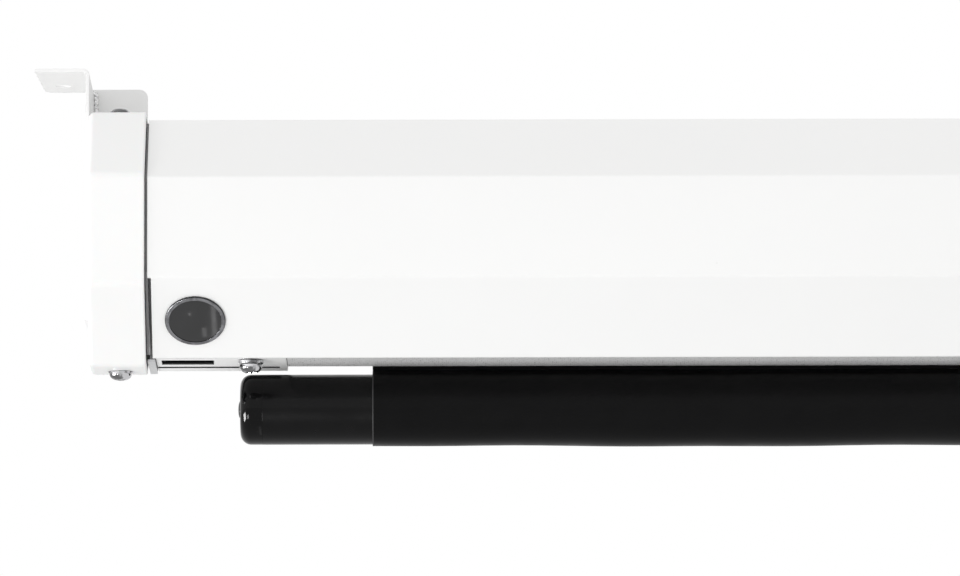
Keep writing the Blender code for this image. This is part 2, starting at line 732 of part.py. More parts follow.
def make_end_plate(side):
    label = SIDE_NAMES[side]
    low, top = span(side, FIT_GAP, PLATE_INNER)
    centre = ((low + top) / 2, 0, 0)
    holes = [circle(deep(BOLT_DEPTH), high(height), BOLT_HOLE) for height in BOLT_HEIGHTS]
    y, z = deep(ROLLER_DEPTH), high(ROLLER_HEIGHT)
    if side == LEFT:
        half = STUB_SIDE / 2 + FIT_GAP
        holes.append(rectangle(y - half, y + half, z - half, z + half))
    else:
        holes.append(circle(y, z, IDLER_PIN_RADIUS + FIT_GAP))
    outlines = [placed(end_plate_outline()), *holes]
    mesh = flat_mesh(f"end_plate_{label}", outlines, PLATE_THICK, ACROSS, centre)
    obj = piece(f"end_plate_{label}", mesh, ZINC)
    bite = PLATE_THICK / 2
    for level, (place, outward) in cap_screw_places(side).items():
        bottom, lid = lug_heights()[level]
        x_low, x_high = span(side, -LUG_REACH, FIT_GAP + bite)
        add(obj, box_mesh(f"lug_{level}_{label}", (x_low, place.y - LUG_HALF_WIDTH, high(bottom)),
                          (x_high, place.y + LUG_HALF_WIDTH, high(lid))))
        cut(obj, rod_mesh(f"lug_hole_{level}_{label}", PAN_HOLE,
                          (place.x, place.y, high(bottom - LUG_THICK)),
                          (place.x, place.y, high(lid + LUG_THICK)), SCREW_SIDES))
    x_low, x_high = span(side, FIT_GAP + bite, PLATE_INNER + EAR_REACH)
    inset = CASE_SHEET + FIT_GAP
    for level, (place, outward) in case_screw_places(side).items():
        outer = place - outward * inset
        inner = outer - outward * EAR_THICK
        across = Vector((0, outward.z, outward.y)) * EAR_HALF_WIDTH
        corners = [outer - across, outer + across, inner - across, inner + across]
        ear_low = (x_low, min(c.y for c in corners), min(c.z for c in corners))
        ear_top = (x_high, max(c.y for c in corners), max(c.z for c in corners))
        add(obj, box_mesh(f"ear_{level}_{label}", ear_low, ear_top))
        cut(obj, rod_mesh(f"ear_hole_{level}_{label}", PAN_HOLE, outer + outward * EAR_THICK,
                          inner - outward * EAR_THICK, SCREW_SIDES))
        pan_screw(f"case_screw_{label}_{level}", place + outward * FIT_GAP, outward)
    for height in BOLT_HEIGHTS:
        spot = deep(BOLT_DEPTH), high(height)
        add(obj, rod_mesh(f"bolt_boss_{label}", BOLT_BOSS_RADIUS, (along(side, FIT_GAP + bite), *spot),
                          (along(side, PLATE_INNER + BOLT_THREAD), *spot), SCREW_SIDES))
        cut(obj, rod_mesh(f"bolt_bore_{label}", BOLT_HOLE, (along(side, -BOLT_THREAD), *spot),
                          (along(side, PLATE_INNER + 2 * BOLT_THREAD), *spot), SCREW_SIDES))


# Bracket with its flange on the ceiling, a side plate beside the cap and a rear plate on the wall
def make_bracket(side):
    label = SIDE_NAMES[side]
    outer = BRACKET_INNER - BRACKET_SHEET
    tip = outer - FLANGE_REACH
    corner_x = along(side, BRACKET_INNER)
    bend = [(along(side, tip), 0), (corner_x, 0), (corner_x, high(BRACKET_FOOT))]
    path = folded(bend, BRACKET_BEND)
    rear = -BRACKET_SHEET / 2
    front = deep(BRACKET_FRONT)
    bm = bmesh.new()
    row = [bm.verts.new((x, front, z)) for x, z in path]
    edges = [bm.edges.new(pair) for pair in zip(row, row[1:])]
    swept = bmesh.ops.extrude_edge_only(bm, edges=edges)["geom"]
    moved = [item for item in swept if isinstance(item, bmesh.types.BMVert)]
    bmesh.ops.translate(bm, vec=(0, rear - front, 0), verts=moved)
    bm.normal_update()
    if sum(face.normal.z * face.calc_area() for face in bm.faces) < 0:
        bmesh.ops.reverse_faces(bm, faces=bm.faces)
    mesh = bpy.data.meshes.new(f"bracket_{label}")
    bm.to_mesh(mesh)
    bm.free()
    obj = piece(f"bracket_{label}", mesh, WHITE_PAINT)
    thicken(obj, BRACKET_SHEET)
    x_low, x_high = span(side, BRACKET_INNER - BRACKET_SHEET / 2, BRACKET_INNER + REAR_PLATE_REACH)
    plate_top = -FIT_GAP
    plate_foot = high(BRACKET_FOOT)
    inner_end = along(side, BRACKET_INNER + REAR_PLATE_REACH)
    weld_end = along(side, BRACKET_INNER - BRACKET_SHEET / 2)
    corner = folded([(weld_end, plate_top), (inner_end, plate_top), (inner_end, plate_foot)],
                    REAR_PLATE_CORNER, ARC_STEPS)
    middle = (x_low + x_high) / 2
    slots = []
    for height in WALL_SLOT_HEIGHTS:
        z = high(height)
        slots.append(stadium(middle - WALL_SLOT_LENGTH / 2, middle + WALL_SLOT_LENGTH / 2,
                             z - FIXING_HOLE / 2, z + FIXING_HOLE / 2))
    plate = flat_mesh(f"rear_plate_{label}", [corner + [(weld_end, plate_foot)], *slots], BRACKET_SHEET,
                      FACING, (0, -BRACKET_SHEET / 2, 0))
    add(obj, plate)
    seat = WELD_RADIUS / 2
    weld_x = along(side, BRACKET_INNER + seat)
    weld_y = -BRACKET_SHEET - seat
    weld_foot = high(CASE_HEIGHT + CAP_RISE + FIT_GAP)
    add(obj, rod_mesh(f"weld_{label}", WELD_RADIUS, (weld_x, weld_y, weld_foot),
                      (weld_x, weld_y, plate_top - BRACKET_SHEET / 2), WELD_SIDES))
    reach = 3 * BRACKET_SHEET
    for height in BOLT_HEIGHTS:
        y, z = deep(BOLT_DEPTH), high(height)
        cut(obj, bolt_seat(f"side_seat_{label}", side, y, z))
    hole_x, hole_y = along(side, outer - FLANGE_REACH / 2), deep(FLANGE_HOLE_DEPTH)
    cut(obj, rod_mesh(f"flange_hole_{label}", FIXING_HOLE / 2, (hole_x, hole_y, -reach),
                      (hole_x, hole_y, reach), SHAFT_SIDES))
    # The flange's outer edge slants a little and ends in a rounded far corner
    slant = (rear - front) / FLANGE_SLANT
    start = (along(side, tip - FLANGE_SLANT), front - FLANGE_SLANT * slant)
    far_corner = (along(side, tip + FLANGE_SLANT), rear)
    arc = folded([start, far_corner, (corner_x, rear)], BRACKET_CORNER, ARC_STEPS)[:-1]
    beyond_x = along(side, tip - 2 * FLANGE_SLANT)
    beyond_y = rear + BRACKET_CORNER
    waste = [*arc, (arc[-1][0], beyond_y), (beyond_x, beyond_y), (beyond_x, start[1])]
    cut(obj, flat_mesh(f"flange_corner_{label}", [waste], 4 * BRACKET_SHEET, LEVEL, (0, 0, 0)))
    for index, height in enumerate(BOLT_HEIGHTS):
        level = ("lower", "upper")[index]
        base = Vector((along(side, outer), deep(BOLT_DEPTH), high(height)))
        profile = bolt_profile(PLATE_INNER + BOLT_THREAD - outer)
        turned(f"bracket_bolt_{label}_{level}", profile, base, (side, 0, 0), ZINC, sides=SCREW_SIDES)


# Cover over the end of the fabric slot, with its screw and washer
def make_slot_cover(side):
    label = SIDE_NAMES[side]
    front = LOW_CHAMFER + CASE_BEND + FIT_GAP
    rear = PLATE_FOOT_END + COVER_SHEET
    rise = PLATE_FOOT_END - LIP_END - 2 * FIT_GAP
    start = PLATE_INNER + FIT_GAP
    x_low, x_high = span(side, start, COVER_END)
    path = folded(placed([(front, 0), (rear, 0), (rear, rise)]), 2 * COVER_SHEET)
    mesh = sheet_mesh(f"slot_cover_{label}", path, x_low, x_high, Vector((0, 1, -1)))
    obj = piece(f"slot_cover_{label}", mesh, WHITE_PAINT)
    thicken(obj, COVER_SHEET)
    depth = 6 * COVER_SHEET
    slots = {"fabric_side_slot": (COVER_SLOT_START, COVER_SLOT_END, *COVER_SLOT_DEPTHS)}
    if side == LEFT:
        slots["access_slot"] = (*ACCESS_SLOT, *ACCESS_DEPTHS)
    for name, (first, last, near, far) in slots.items():
        low, top = span(side, first, last)
        edge = rectangle(low, top, deep(near), deep(far))
        cut(obj, flat_mesh(f"{name}_{label}", [edge], depth, LEVEL, (0, 0, high(0))))
    x, y = along(side, COVER_SCREW_INSET), deep(COVER_SCREW_DEPTH)
    cut(obj, rod_mesh(f"cover_hole_{label}", PAN_HOLE, (x, y, high(-depth)), (x, y, high(depth)),
                      SCREW_SIDES))
    washer_top = high(-FIT_GAP)
    washer = [(WASHER_RADIUS, WASHER_THICK), (WASHER_RADIUS, 0), (PAN_HOLE, 0), (PAN_HOLE, WASHER_THICK)]
    turned(f"cover_washer_{label}", washer, (x, y, washer_top - WASHER_THICK), (0, 0, 1), CHROME,
           sides=SCREW_SIDES)
    head = Vector((x, y, washer_top - WASHER_THICK - FIT_GAP))
    pan_screw(f"cover_screw_{label}", head, (0, 0, -1))


# Infrared eye: bezel, window, nut behind the sheet, board with its sensor
def make_eye():
    place, outward = eye_axis()
    barrel_end = -EYE_BARREL_LENGTH
    seat = EYE_FLANGE_THICK - EYE_GLASS_THICK
    pocket = EYE_GLASS_RADIUS + FIT_GAP
    bezel = [
        (pocket, EYE_FLANGE_THICK),
        (EYE_FLANGE_RADIUS - EYE_FLANGE_EDGE, EYE_FLANGE_THICK),
        (EYE_FLANGE_RADIUS, EYE_FLANGE_THICK / 2),
        (EYE_FLANGE_RADIUS, 0),
        (EYE_BARREL_RADIUS, 0),
        (EYE_BARREL_RADIUS, barrel_end),
        (EYE_BORE_RADIUS, barrel_end),
        (EYE_BORE_RADIUS, seat - FIT_GAP),
        (pocket, seat - FIT_GAP),
    ]
    turned("eye_bezel", bezel, place + outward * FIT_GAP, outward, CHROME)
    glass = [(0.0, EYE_GLASS_THICK), (EYE_GLASS_RADIUS, EYE_GLASS_RIM), (EYE_GLASS_RADIUS, 0),
             (0.0, 0.0)]
    turned("eye_window", glass, place + outward * (seat + FIT_GAP), outward, DARK_GLASS)
    nut_inner = EYE_BARREL_RADIUS + FIT_GAP
    nut = [(EYE_NUT_RADIUS, EYE_NUT_THICK), (EYE_NUT_RADIUS, 0), (nut_inner, 0), (nut_inner, EYE_NUT_THICK)]
    nut_base = place - outward * (CASE_SHEET + FIT_GAP + EYE_NUT_THICK)
    turned("eye_nut", nut, nut_base, outward, BLACK_PLASTIC, sides=SHAFT_SIDES)
    # The board lies square to the eye's axis, right behind the barrel
    turn = Matrix.Rotation(math.radians(45), 3, "X")
    board_front = EYE_BARREL_LENGTH
    across, tall, thick = EYE_BOARD
    board = box_mesh("eye_board", (-across / 2, -thick / 2, -tall / 2), (across / 2, thick / 2, tall / 2))
    board.transform(Matrix.Translation(place - outward * (board_front + thick / 2)) @ turn.to_4x4())
    piece("eye_board", board, GREEN_BOARD)
    across, tall, thick = EYE_SENSOR
    sensor = box_mesh("eye_sensor", (-across / 2, -thick / 2, -tall / 2), (across / 2, thick / 2, tall / 2))
    sensor_centre = place - outward * (board_front - FIT_GAP - thick / 2)
    sensor.transform(Matrix.Translation(sensor_centre) @ turn.to_4x4())
    obj = piece("eye_sensor", sensor, BLACK_PLASTIC)
    bevel(obj, EYE_SENSOR_EDGE, 2)


# Cables that the case holds all the way
def make_cable(name, points, thickness, material):
    curve = bpy.data.curves.new(name, "CURVE")
    curve.dimensions = "3D"
    curve.bevel_depth = thickness / 2
    curve.bevel_resolution = 1
    curve.use_fill_caps = True
    spline = curve.splines.new("POLY")
    steps = CABLE_STEPS
    smooth = [points[0]]
    padded = [2 * points[0] - points[1], *points, 2 * points[-1] - points[-2]]
    for p, q, r, s in zip(padded, padded[1:], padded[2:], padded[3:]):
        for step in range(1, steps + 1):
            t = step / steps
            smooth.append(0.5 * (2 * q + (r - p) * t + (2 * p - 5 * q + 4 * r - s) * t**2
                                 + (3 * q - p - 3 * r + s) * t**3))
    spline.points.add(len(smooth) - 1)
    for point, place in zip(spline.points, smooth):
        point.co = (*place, 1)
    obj = bpy.data.objects.new(name, curve)
    curve.materials.append(material)
    parts.objects.link(obj)


def make_cables():
    place, outward = eye_axis()
    board_back = place - outward * (EYE_BARREL_LENGTH + EYE_BOARD[2])
    start = board_back - outward * FIT_GAP + Vector((RECEIVER_LEAD, 0, 0))
    box_left = along(LEFT, BOX_INSET) - FIT_GAP
    box_y = deep(CASE_DEPTH - CASE_SHEET - FIT_GAP - BOX_THICK / 2)
    low_z = high(BOX_HEIGHTS[0] + BOX_THICK / 2)
    turns = [Vector((along(LEFT, inset), deep(depth), high(height))) for inset, depth, height in
             RECEIVER_TURNS]
    top_z = high(BOX_HEIGHTS[1] - BOX_THICK / 2)
    route = [
        start,
        start - outward * RECEIVER_STRAIGHT,
        start - outward * 2 * RECEIVER_STRAIGHT,
        *turns,
        Vector((box_left - CABLE_STRAIGHT, box_y, low_z)),
        Vector((box_left, box_y, low_z)),
    ]
    make_cable("receiver_cable", route, RECEIVER_CABLE, BLACK_PLASTIC)
    head_y = deep(ROLLER_DEPTH + HEAD_RADIUS) + FIT_GAP
    x = along(LEFT, MOTOR_CABLE_INSET)
    head_z = high(ROLLER_HEIGHT - MOTOR_CABLE_DROP)
    bend_x, bend_y = MOTOR_CABLE_BEND
    route = [
        Vector((x, head_y, head_z)),
        Vector((x, head_y + bend_y / 2, head_z)),
        Vector((x + bend_x, head_y + bend_y, high(ROLLER_HEIGHT))),
        Vector((box_left - CABLE_STRAIGHT, box_y, top_z)),
        Vector((box_left, box_y, top_z)),
    ]
    make_cable("motor_cable", route, MOTOR_CABLE, BLACK_PLASTIC)


# Tubular motor: head with its stub, tube, and what turns inside it
def axis_point(x):
    return Vector((x, deep(ROLLER_DEPTH), high(ROLLER_HEIGHT)))


def limit_screw_place(index):
    x = along(LEFT, LIMIT_SCREW_INSETS[index])
    return Vector((x, deep(LIMIT_SCREW_DEPTH), high(HEAD_BLOCK_LOW)))


def make_motor_head():
    x_low, x_high = span(LEFT, HEAD_START, MOTOR_START - FIT_GAP)
    mesh = rod_mesh("motor_head", HEAD_RADIUS, axis_point(x_low), axis_point(x_high))
    obj = piece("motor_head", mesh, BLACK_PLASTIC)
    block_end = x_low + HEAD_BLOCK_LENGTH
    add(obj, box_mesh("head_block", (x_low + FIT_GAP, deep(HEAD_BLOCK_FRONT), high(HEAD_BLOCK_LOW)),
                      (block_end, deep(HEAD_BLOCK_REAR), high(ROLLER_HEIGHT + HEAD_BLOCK_RISE))))
    spigot = MOTOR_RADIUS - MOTOR_WALL - FIT_GAP
    add(obj, rod_mesh("head_spigot", spigot, axis_point(x_high - HEAD_SPIGOT / 2),
                      axis_point(x_high + HEAD_SPIGOT)))
    stub_end = along(LEFT, -STUB_REACH)
    half = STUB_SIDE / 2
    y, z = deep(ROLLER_DEPTH), high(ROLLER_HEIGHT)
    add(obj, box_mesh("head_stub", (stub_end, y - half, z - half), (x_low + half, y + half, z + half)))
    neck_low, neck_high = span(LEFT, -CLIP_THICK - 2 * FIT_GAP, 0)
    ring = [(2 * half, neck_high), (2 * half, neck_low)]
    collar = flat_mesh("stub_neck", [circle(y, z, ring[0][0]), circle(y, z, STUB_NECK_RADIUS)],
                       neck_high - neck_low, ACROSS, ((neck_low + neck_high) / 2, 0, 0))
    cut(obj, collar)
    hole = LIMIT_SCREW_RADIUS + FIT_GAP
    for index in (0, 1):
        place = limit_screw_place(index)
        depth = LIMIT_SCREW_LENGTH - LIMIT_SCREW_STAND + FIT_GAP
        cut(obj, rod_mesh(f"limit_bore_{index}", hole, place - Vector((0, 0, hole)),
                          place + Vector((0, 0, depth)), SCREW_SIDES))


def make_clip(name, side, outer_face, neck):
    # A flat clip with an open mouth, pushed over a neck
    inner = neck + FIT_GAP
    thick = CLIP_THICK
    y, z = deep(ROLLER_DEPTH), high(ROLLER_HEIGHT)
    mouth = math.asin(inner / CLIP_RADIUS)
    outline = []
    for step in range(CLIP_STEPS + 1):
        angle = -math.pi / 2 + mouth + (2 * math.pi - 2 * mouth) * step / CLIP_STEPS
        outline.append((y + CLIP_RADIUS * math.cos(angle), z + CLIP_RADIUS * math.sin(angle)))
    for step in range(ARC_STEPS + 1):
        angle = math.pi - math.pi * step / ARC_STEPS
        outline.append((y + inner * math.cos(angle), z + inner * math.sin(angle)))
    x = (along(side, outer_face) + along(side, outer_face + thick)) / 2
    piece(name, flat_mesh(name, [outline], thick, ACROSS, (x, 0, 0)), ZINC)


def make_limit_screw(name, index):
    place = limit_screw_place(index)
    axis = pivot(f"{name}_axis", place)
    base = place - Vector((0, 0, LIMIT_SCREW_STAND))
    mesh = rod_mesh(name, LIMIT_SCREW_RADIUS, base, base + Vector((0, 0, LIMIT_SCREW_LENGTH)), SCREW_SIDES)
    obj = piece(name, mesh, ZINC, axis)
    bevel(obj, LIMIT_SCREW_EDGE, 1)
    cut(obj, rod_mesh(f"{name}_socket", HEX_SOCKET_RADIUS, base - Vector((0, 0, HEX_SOCKET_DEPTH)),
                      base + Vector((0, 0, HEX_SOCKET_DEPTH)), 6))


def make_motor(roller):
    x_start, x_end = along(LEFT, MOTOR_START), along(LEFT, MOTOR_END)
    inner = MOTOR_RADIUS - MOTOR_WALL
    tube = [(MOTOR_RADIUS, MOTOR_LENGTH), (MOTOR_RADIUS, 0), (inner, 0), (inner, MOTOR_LENGTH)]
    turned("motor_tube", tube, axis_point(x_start), (1, 0, 0), ALUMINIUM)
    snug = inner - FIT_GAP
    x = x_start + HEAD_SPIGOT + FIT_GAP
    core_parts = (
        ("limit_switch_unit", LIMIT_UNIT_LENGTH, BLACK_PLASTIC, LIMIT_UNIT_WAIST),
        ("motor_core", MOTOR_CORE_LENGTH, ZINC, MOTOR_CORE_WAIST),
    )
    for name, length, material, waist in core_parts:
        # Each unit fills the tube at both ends and is slimmer between them
        collar = length * COLLAR_SHARE
        profile = [(0.0, length), (snug, length), (snug, length - collar), (snug * waist, length - collar),
                   (snug * waist, collar), (snug, collar), (snug, 0), (0.0, 0)]
        turned(name, profile, axis_point(x), (1, 0, 0), material, sides=SHAFT_SIDES)
        x += length + FIT_GAP
    mesh = rod_mesh("motor_gearbox", snug, axis_point(x_end - GEARBOX_LENGTH), axis_point(x_end),
                    SHAFT_SIDES)
    obj = piece("motor_gearbox", mesh, ZINC)
    socket = SHAFT_RADIUS + FIT_GAP
    cut(obj, rod_mesh("gearbox_socket", socket, axis_point(x_end - SHAFT_SOCKET),
                      axis_point(x_end + SHAFT_SOCKET), SHAFT_SIDES))
    shaft_start = x_end - SHAFT_SOCKET + FIT_GAP
    shaft_end = x_end + FIT_GAP + WHEEL_WIDTH + SHAFT_RADIUS
    mesh = rod_mesh("output_shaft", SHAFT_RADIUS, axis_point(shaft_start), axis_point(shaft_end),
                    SHAFT_SIDES)
    obj = piece("output_shaft", mesh, ZINC, roller)
    bevel(obj, SHAFT_EDGE, 1)
    # Wheel that drives the roller, with grooves along it that its ribs leave
    grip = TUBE_RADIUS - TUBE_WALL - FIT_GAP
    wheel_start = x_end + FIT_GAP
    mesh = rod_mesh("drive_wheel", grip, axis_point(wheel_start), axis_point(wheel_start + WHEEL_WIDTH))
    obj = piece("drive_wheel", mesh, BLACK_PLASTIC, roller)
    cut(obj, rod_mesh("wheel_bore", socket, axis_point(wheel_start - WHEEL_WIDTH),
                      axis_point(wheel_start + 2 * WHEEL_WIDTH), SHAFT_SIDES))
    for index in range(WHEEL_RIBS):
        angle = 2 * math.pi * (index + 0.5) / WHEEL_RIBS
        offset = Vector((0, math.cos(angle), math.sin(angle))) * grip
        cut(obj, rod_mesh(f"wheel_groove_{index}", WHEEL_GROOVE_RADIUS,
                          axis_point(wheel_start - WHEEL_WIDTH) + offset,
                          axis_point(wheel_start + 2 * WHEEL_WIDTH) + offset, SCREW_SIDES))
    # Crown that the roller turns, running on the motor's tube
    ring = MOTOR_RADIUS + FIT_GAP
    total = CROWN_FLANGE + FIT_GAP + CROWN_WIDTH
    crown = [(grip, total), (grip, CROWN_FLANGE), (TUBE_RADIUS, CROWN_FLANGE), (TUBE_RADIUS, 0), (ring, 0),
             (ring, total)]
    crown_start = along(LEFT, TUBE_LEFT_INSET) - CROWN_FLANGE - FIT_GAP
    turned("limit_crown", crown, axis_point(crown_start), (1, 0, 0), GREY_PLASTIC, roller)


# Roller tube, the fabric wound on it and the idler end
def spiral_outline(steps=SPIRAL_STEPS):
    # The outer turn closes with a step as thick as the fabric, where the fabric leaves the roll
    outline = []
    for step in range(steps + 1):
        share = step / steps
        angle = 2 * math.pi * share
        radius = ROLL_RADIUS - FABRIC_THICK * share
        outline.append((radius * math.cos(angle), radius * math.sin(angle)))
    return outline


def make_roller(roller):
    x_low, x_high = along(LEFT, TUBE_LEFT_INSET), along(RIGHT, TUBE_RIGHT_INSET)
    bore = TUBE_RADIUS - TUBE_WALL
    length = x_high - x_low
    tube = [(TUBE_RADIUS, length), (TUBE_RADIUS, 0), (bore, 0), (bore, length)]
    turned("roller_tube", tube, axis_point(x_low), (1, 0, 0), ALUMINIUM, roller)
    fabric_length = CASE_LENGTH - 2 * FABRIC_INSET
    y, z = deep(ROLLER_DEPTH), high(ROLLER_HEIGHT)
    outer = [(y + a, z + b) for a, b in spiral_outline()]
    mesh = flat_mesh("fabric_roll", [outer, circle(y, z, ROLL_INNER, ROUND_SIDES)], fabric_length, ACROSS,
                     (0, 0, 0))
    piece("fabric_roll", mesh, SCREEN_FABRIC, roller)
    # Plug in the tube's end, carried by a bush that runs on the idler pin
    grip = bore - FIT_GAP
    bush_bore = IDLER_PIN_RADIUS + FIT_GAP
    bush_outer = bush_bore + BUSH_WALL
    plug_bore = bush_outer + FIT_GAP
    total = IDLER_FLANGE + FIT_GAP + IDLER_PLUG_LENGTH
    plug = [(grip, total), (grip, IDLER_FLANGE), (TUBE_RADIUS, IDLER_FLANGE), (TUBE_RADIUS, 0),
            (plug_bore, 0), (plug_bore, total)]
    face = x_high + FIT_GAP + IDLER_FLANGE
    turned("idler_plug", plug, axis_point(face), (-1, 0, 0), BLACK_PLASTIC, roller)
    bush = [(bush_outer, IDLER_PLUG_LENGTH), (bush_outer, 0), (bush_bore, 0), (bush_bore, IDLER_PLUG_LENGTH)]
    turned("idler_bush", bush, axis_point(face), (-1, 0, 0), BRASS, roller, SHAFT_SIDES)


def make_idler():
    head_face = along(RIGHT, 0)
    shank = IDLER_PIN_RADIUS
    groove = PLATE_INNER + FIT_GAP
    groove_end = groove + CLIP_THICK + 2 * FIT_GAP
    profile = [
        (0.0, IDLER_HEAD_THICK),
        (IDLER_HEAD_RADIUS, IDLER_HEAD_THICK),
        (IDLER_HEAD_RADIUS, 0),
        (shank, 0),
        (shank, -groove),
        (IDLER_NECK_RADIUS, -groove),
        (IDLER_NECK_RADIUS, -groove_end),
        (shank, -groove_end),
        (shank, -IDLER_PIN_LENGTH),
        (0.0, -IDLER_PIN_LENGTH),
    ]
    turned("idler_pin", profile, axis_point(head_face), (1, 0, 0), ZINC, sides=SHAFT_SIDES)
    make_clip("idler_clip", RIGHT, groove + FIT_GAP, IDLER_NECK_RADIUS)


# Fabric that hangs from the roll into the bar's sleeve
def make_fabric_drop(bar):
    half = CASE_LENGTH / 2 - FABRIC_INSET
    y = deep(FABRIC_DEPTH)
    low = high(BAR_HEIGHT + SLEEVE_APEX) + FIT_GAP + FABRIC_THICK
    mesh = box_mesh("fabric_drop", (-half, y - FABRIC_THICK / 2, low), (half, y + FABRIC_THICK / 2,
                                                                      high(ROLLER_HEIGHT)))
    piece("fabric_drop", mesh, BLACK_FABRIC, bar)


def sleeve_outline(radius, apex, steps=SLEEVE_STEPS):
    # A circle whose two flanks run straight up to a point, seen from the bar's end
    open_angle = math.acos(radius / apex)
    sweep = 2 * (math.pi - open_angle)
    points = [(0.0, apex)]
    for step in range(steps + 1):
        angle = math.pi / 2 + open_angle + sweep * step / steps
        points.append((radius * math.cos(angle), radius * math.sin(angle)))
    return points


def make_bar(bar):
    y, z = deep(FABRIC_DEPTH), high(BAR_HEIGHT)
    centre = (0, y, z)
    fabric_length = CASE_LENGTH - 2 * FABRIC_INSET
    outer = sleeve_outline(SLEEVE_INNER + FABRIC_THICK, SLEEVE_APEX + FABRIC_THICK)
    inner = sleeve_outline(SLEEVE_INNER, SLEEVE_APEX - FABRIC_THICK)
    sleeve = flat_mesh("bar_sleeve", [outer, inner], fabric_length, ACROSS, centre)
    piece("bar_sleeve", sleeve, BLACK_FABRIC, bar)
    half = CASE_LENGTH / 2 - BAR_INSET - BAR_CAP_COLLAR - FIT_GAP
    bore = BAR_RADIUS - BAR_WALL
    tube = [(BAR_RADIUS, 2 * half), (BAR_RADIUS, 0), (bore, 0), (bore, 2 * half)]
    turned("bar_tube", tube, (-half, y, z), (1, 0, 0), BLACK_PAINT, bar)
    # Moulded plugs with a rounded nose and a small pip in its middle
    spigot = bore - FIT_GAP
    nose = [(0.0, 0.0)]
    for step in range(NOSE_STEPS + 1):
        angle = math.radians(90) * step / NOSE_STEPS
        nose.append((BAR_RADIUS - BAR_CAP_EDGE * (1 - math.sin(angle)),
                     -BAR_CAP_EDGE * (1 - math.cos(angle))))
    stem = [(BAR_RADIUS, -BAR_CAP_COLLAR), (spigot, -BAR_CAP_COLLAR),
            (spigot, -BAR_CAP_COLLAR - BAR_CAP_SPIGOT), (0.0, -BAR_CAP_COLLAR - BAR_CAP_SPIGOT)]
    for side in (LEFT, RIGHT):
        label = SIDE_NAMES[side]
        base = (along(side, BAR_INSET), y, z)
        obj = turned(f"bar_cap_{label}", nose + stem, base, (side, 0, 0), BLACK_GLOSS, bar)
        pip_root = (along(side, BAR_INSET + BAR_CAP_PIP), y, z)
        pip_tip = (along(side, BAR_INSET - BAR_CAP_PIP), y, z)
        add(obj, rod_mesh(f"bar_cap_pip_{label}", BAR_CAP_PIP_RADIUS, pip_root, pip_tip, SCREW_SIDES))


# Control box on the case's rear wall and the rubber bush for the supply
def make_control_box():
    x_low = along(LEFT, BOX_INSET)
    rear = CASE_DEPTH - CASE_SHEET - FIT_GAP
    low, top = BOX_HEIGHTS
    mesh = box_mesh("control_box", (x_low, deep(rear - BOX_THICK), high(low)),
                    (x_low + BOX_LENGTH, deep(rear), high(top)))
    obj = piece("control_box", mesh, GREY_PLASTIC)
    bevel(obj, BOX_EDGE, 2)


def make_grommet():
    place, outward = grommet_axis()
    wide = GROMMET_RADIUS + GROMMET_LIP
    inner_face = -CASE_SHEET - FIT_GAP
    profile = [
        (GROMMET_HOLE, FIT_GAP + GROMMET_LIP),
        (wide, FIT_GAP + GROMMET_LIP_RIM),
        (wide, FIT_GAP),
        (GROMMET_RADIUS, FIT_GAP),
        (GROMMET_RADIUS, inner_face),
        (wide, inner_face),
        (wide, inner_face - GROMMET_LIP_RIM),
        (GROMMET_HOLE, inner_face - GROMMET_LIP),
    ]
    turned("supply_grommet", profile, place, outward, RUBBER, sides=SCREW_SIDES)


make_case()
for end in (LEFT, RIGHT):
    make_end_cap(end)
    make_end_plate(end)
    make_bracket(end)
    make_slot_cover(end)
make_eye()
make_cables()
make_motor_head()
make_clip("motor_clip", LEFT, -CLIP_THICK - FIT_GAP, STUB_NECK_RADIUS)
make_limit_screw("limit_screw_up", 0)
make_limit_screw("limit_screw_down", 1)
roller_axis = pivot("roller_axis", axis_point(0))
bar_axis = pivot("bar_axis", Vector((0, deep(FABRIC_DEPTH), high(BAR_HEIGHT))))
bpy.context.view_layer.update()
make_motor(roller_axis)
make_roller(roller_axis)
make_idler()
make_fabric_drop(bar_axis)
make_bar(bar_axis)
make_control_box()
make_grommet()

for obj in parts.objects:
    if obj.type == "MESH":
        obj.data.shade_smooth()
        obj.data.set_sharp_from_angle(angle=math.radians(30))
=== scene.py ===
import json
import math

import bmesh
import bpy
from mathutils import Matrix, Vector


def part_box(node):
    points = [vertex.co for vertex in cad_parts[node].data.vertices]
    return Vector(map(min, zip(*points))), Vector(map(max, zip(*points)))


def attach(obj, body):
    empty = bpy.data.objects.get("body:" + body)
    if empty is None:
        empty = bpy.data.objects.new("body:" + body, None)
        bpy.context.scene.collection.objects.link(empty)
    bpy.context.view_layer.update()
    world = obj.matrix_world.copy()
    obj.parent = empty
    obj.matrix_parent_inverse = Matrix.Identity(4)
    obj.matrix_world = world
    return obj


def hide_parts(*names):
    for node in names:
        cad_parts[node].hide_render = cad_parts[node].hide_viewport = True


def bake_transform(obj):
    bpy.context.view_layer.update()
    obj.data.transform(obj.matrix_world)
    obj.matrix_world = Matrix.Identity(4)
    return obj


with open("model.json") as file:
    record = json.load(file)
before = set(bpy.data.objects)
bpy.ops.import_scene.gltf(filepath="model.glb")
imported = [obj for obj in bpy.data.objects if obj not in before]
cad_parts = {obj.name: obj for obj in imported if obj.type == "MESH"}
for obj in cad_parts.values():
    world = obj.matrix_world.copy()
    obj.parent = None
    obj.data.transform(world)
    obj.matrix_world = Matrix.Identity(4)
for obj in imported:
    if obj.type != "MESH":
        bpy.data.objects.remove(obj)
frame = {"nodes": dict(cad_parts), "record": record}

scene = bpy.context.scene
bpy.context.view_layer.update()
print("frame loaded:", len(frame["nodes"]), "pieces from the workshop model")

# The photo's camera: it looks up a little from five metres away, at the screen's left end
photoCamera = {
    "target": (-0.9195707, -0.0416, -0.0775425),
    "distance": 5.0,
    "turn": 0.2629,
    "lookUp": 7.2,
    "roll": 0.0925,
    "lens": 526.54,
    "sensor": 36.0,
    "clip": (0.1, 2000.0),
}


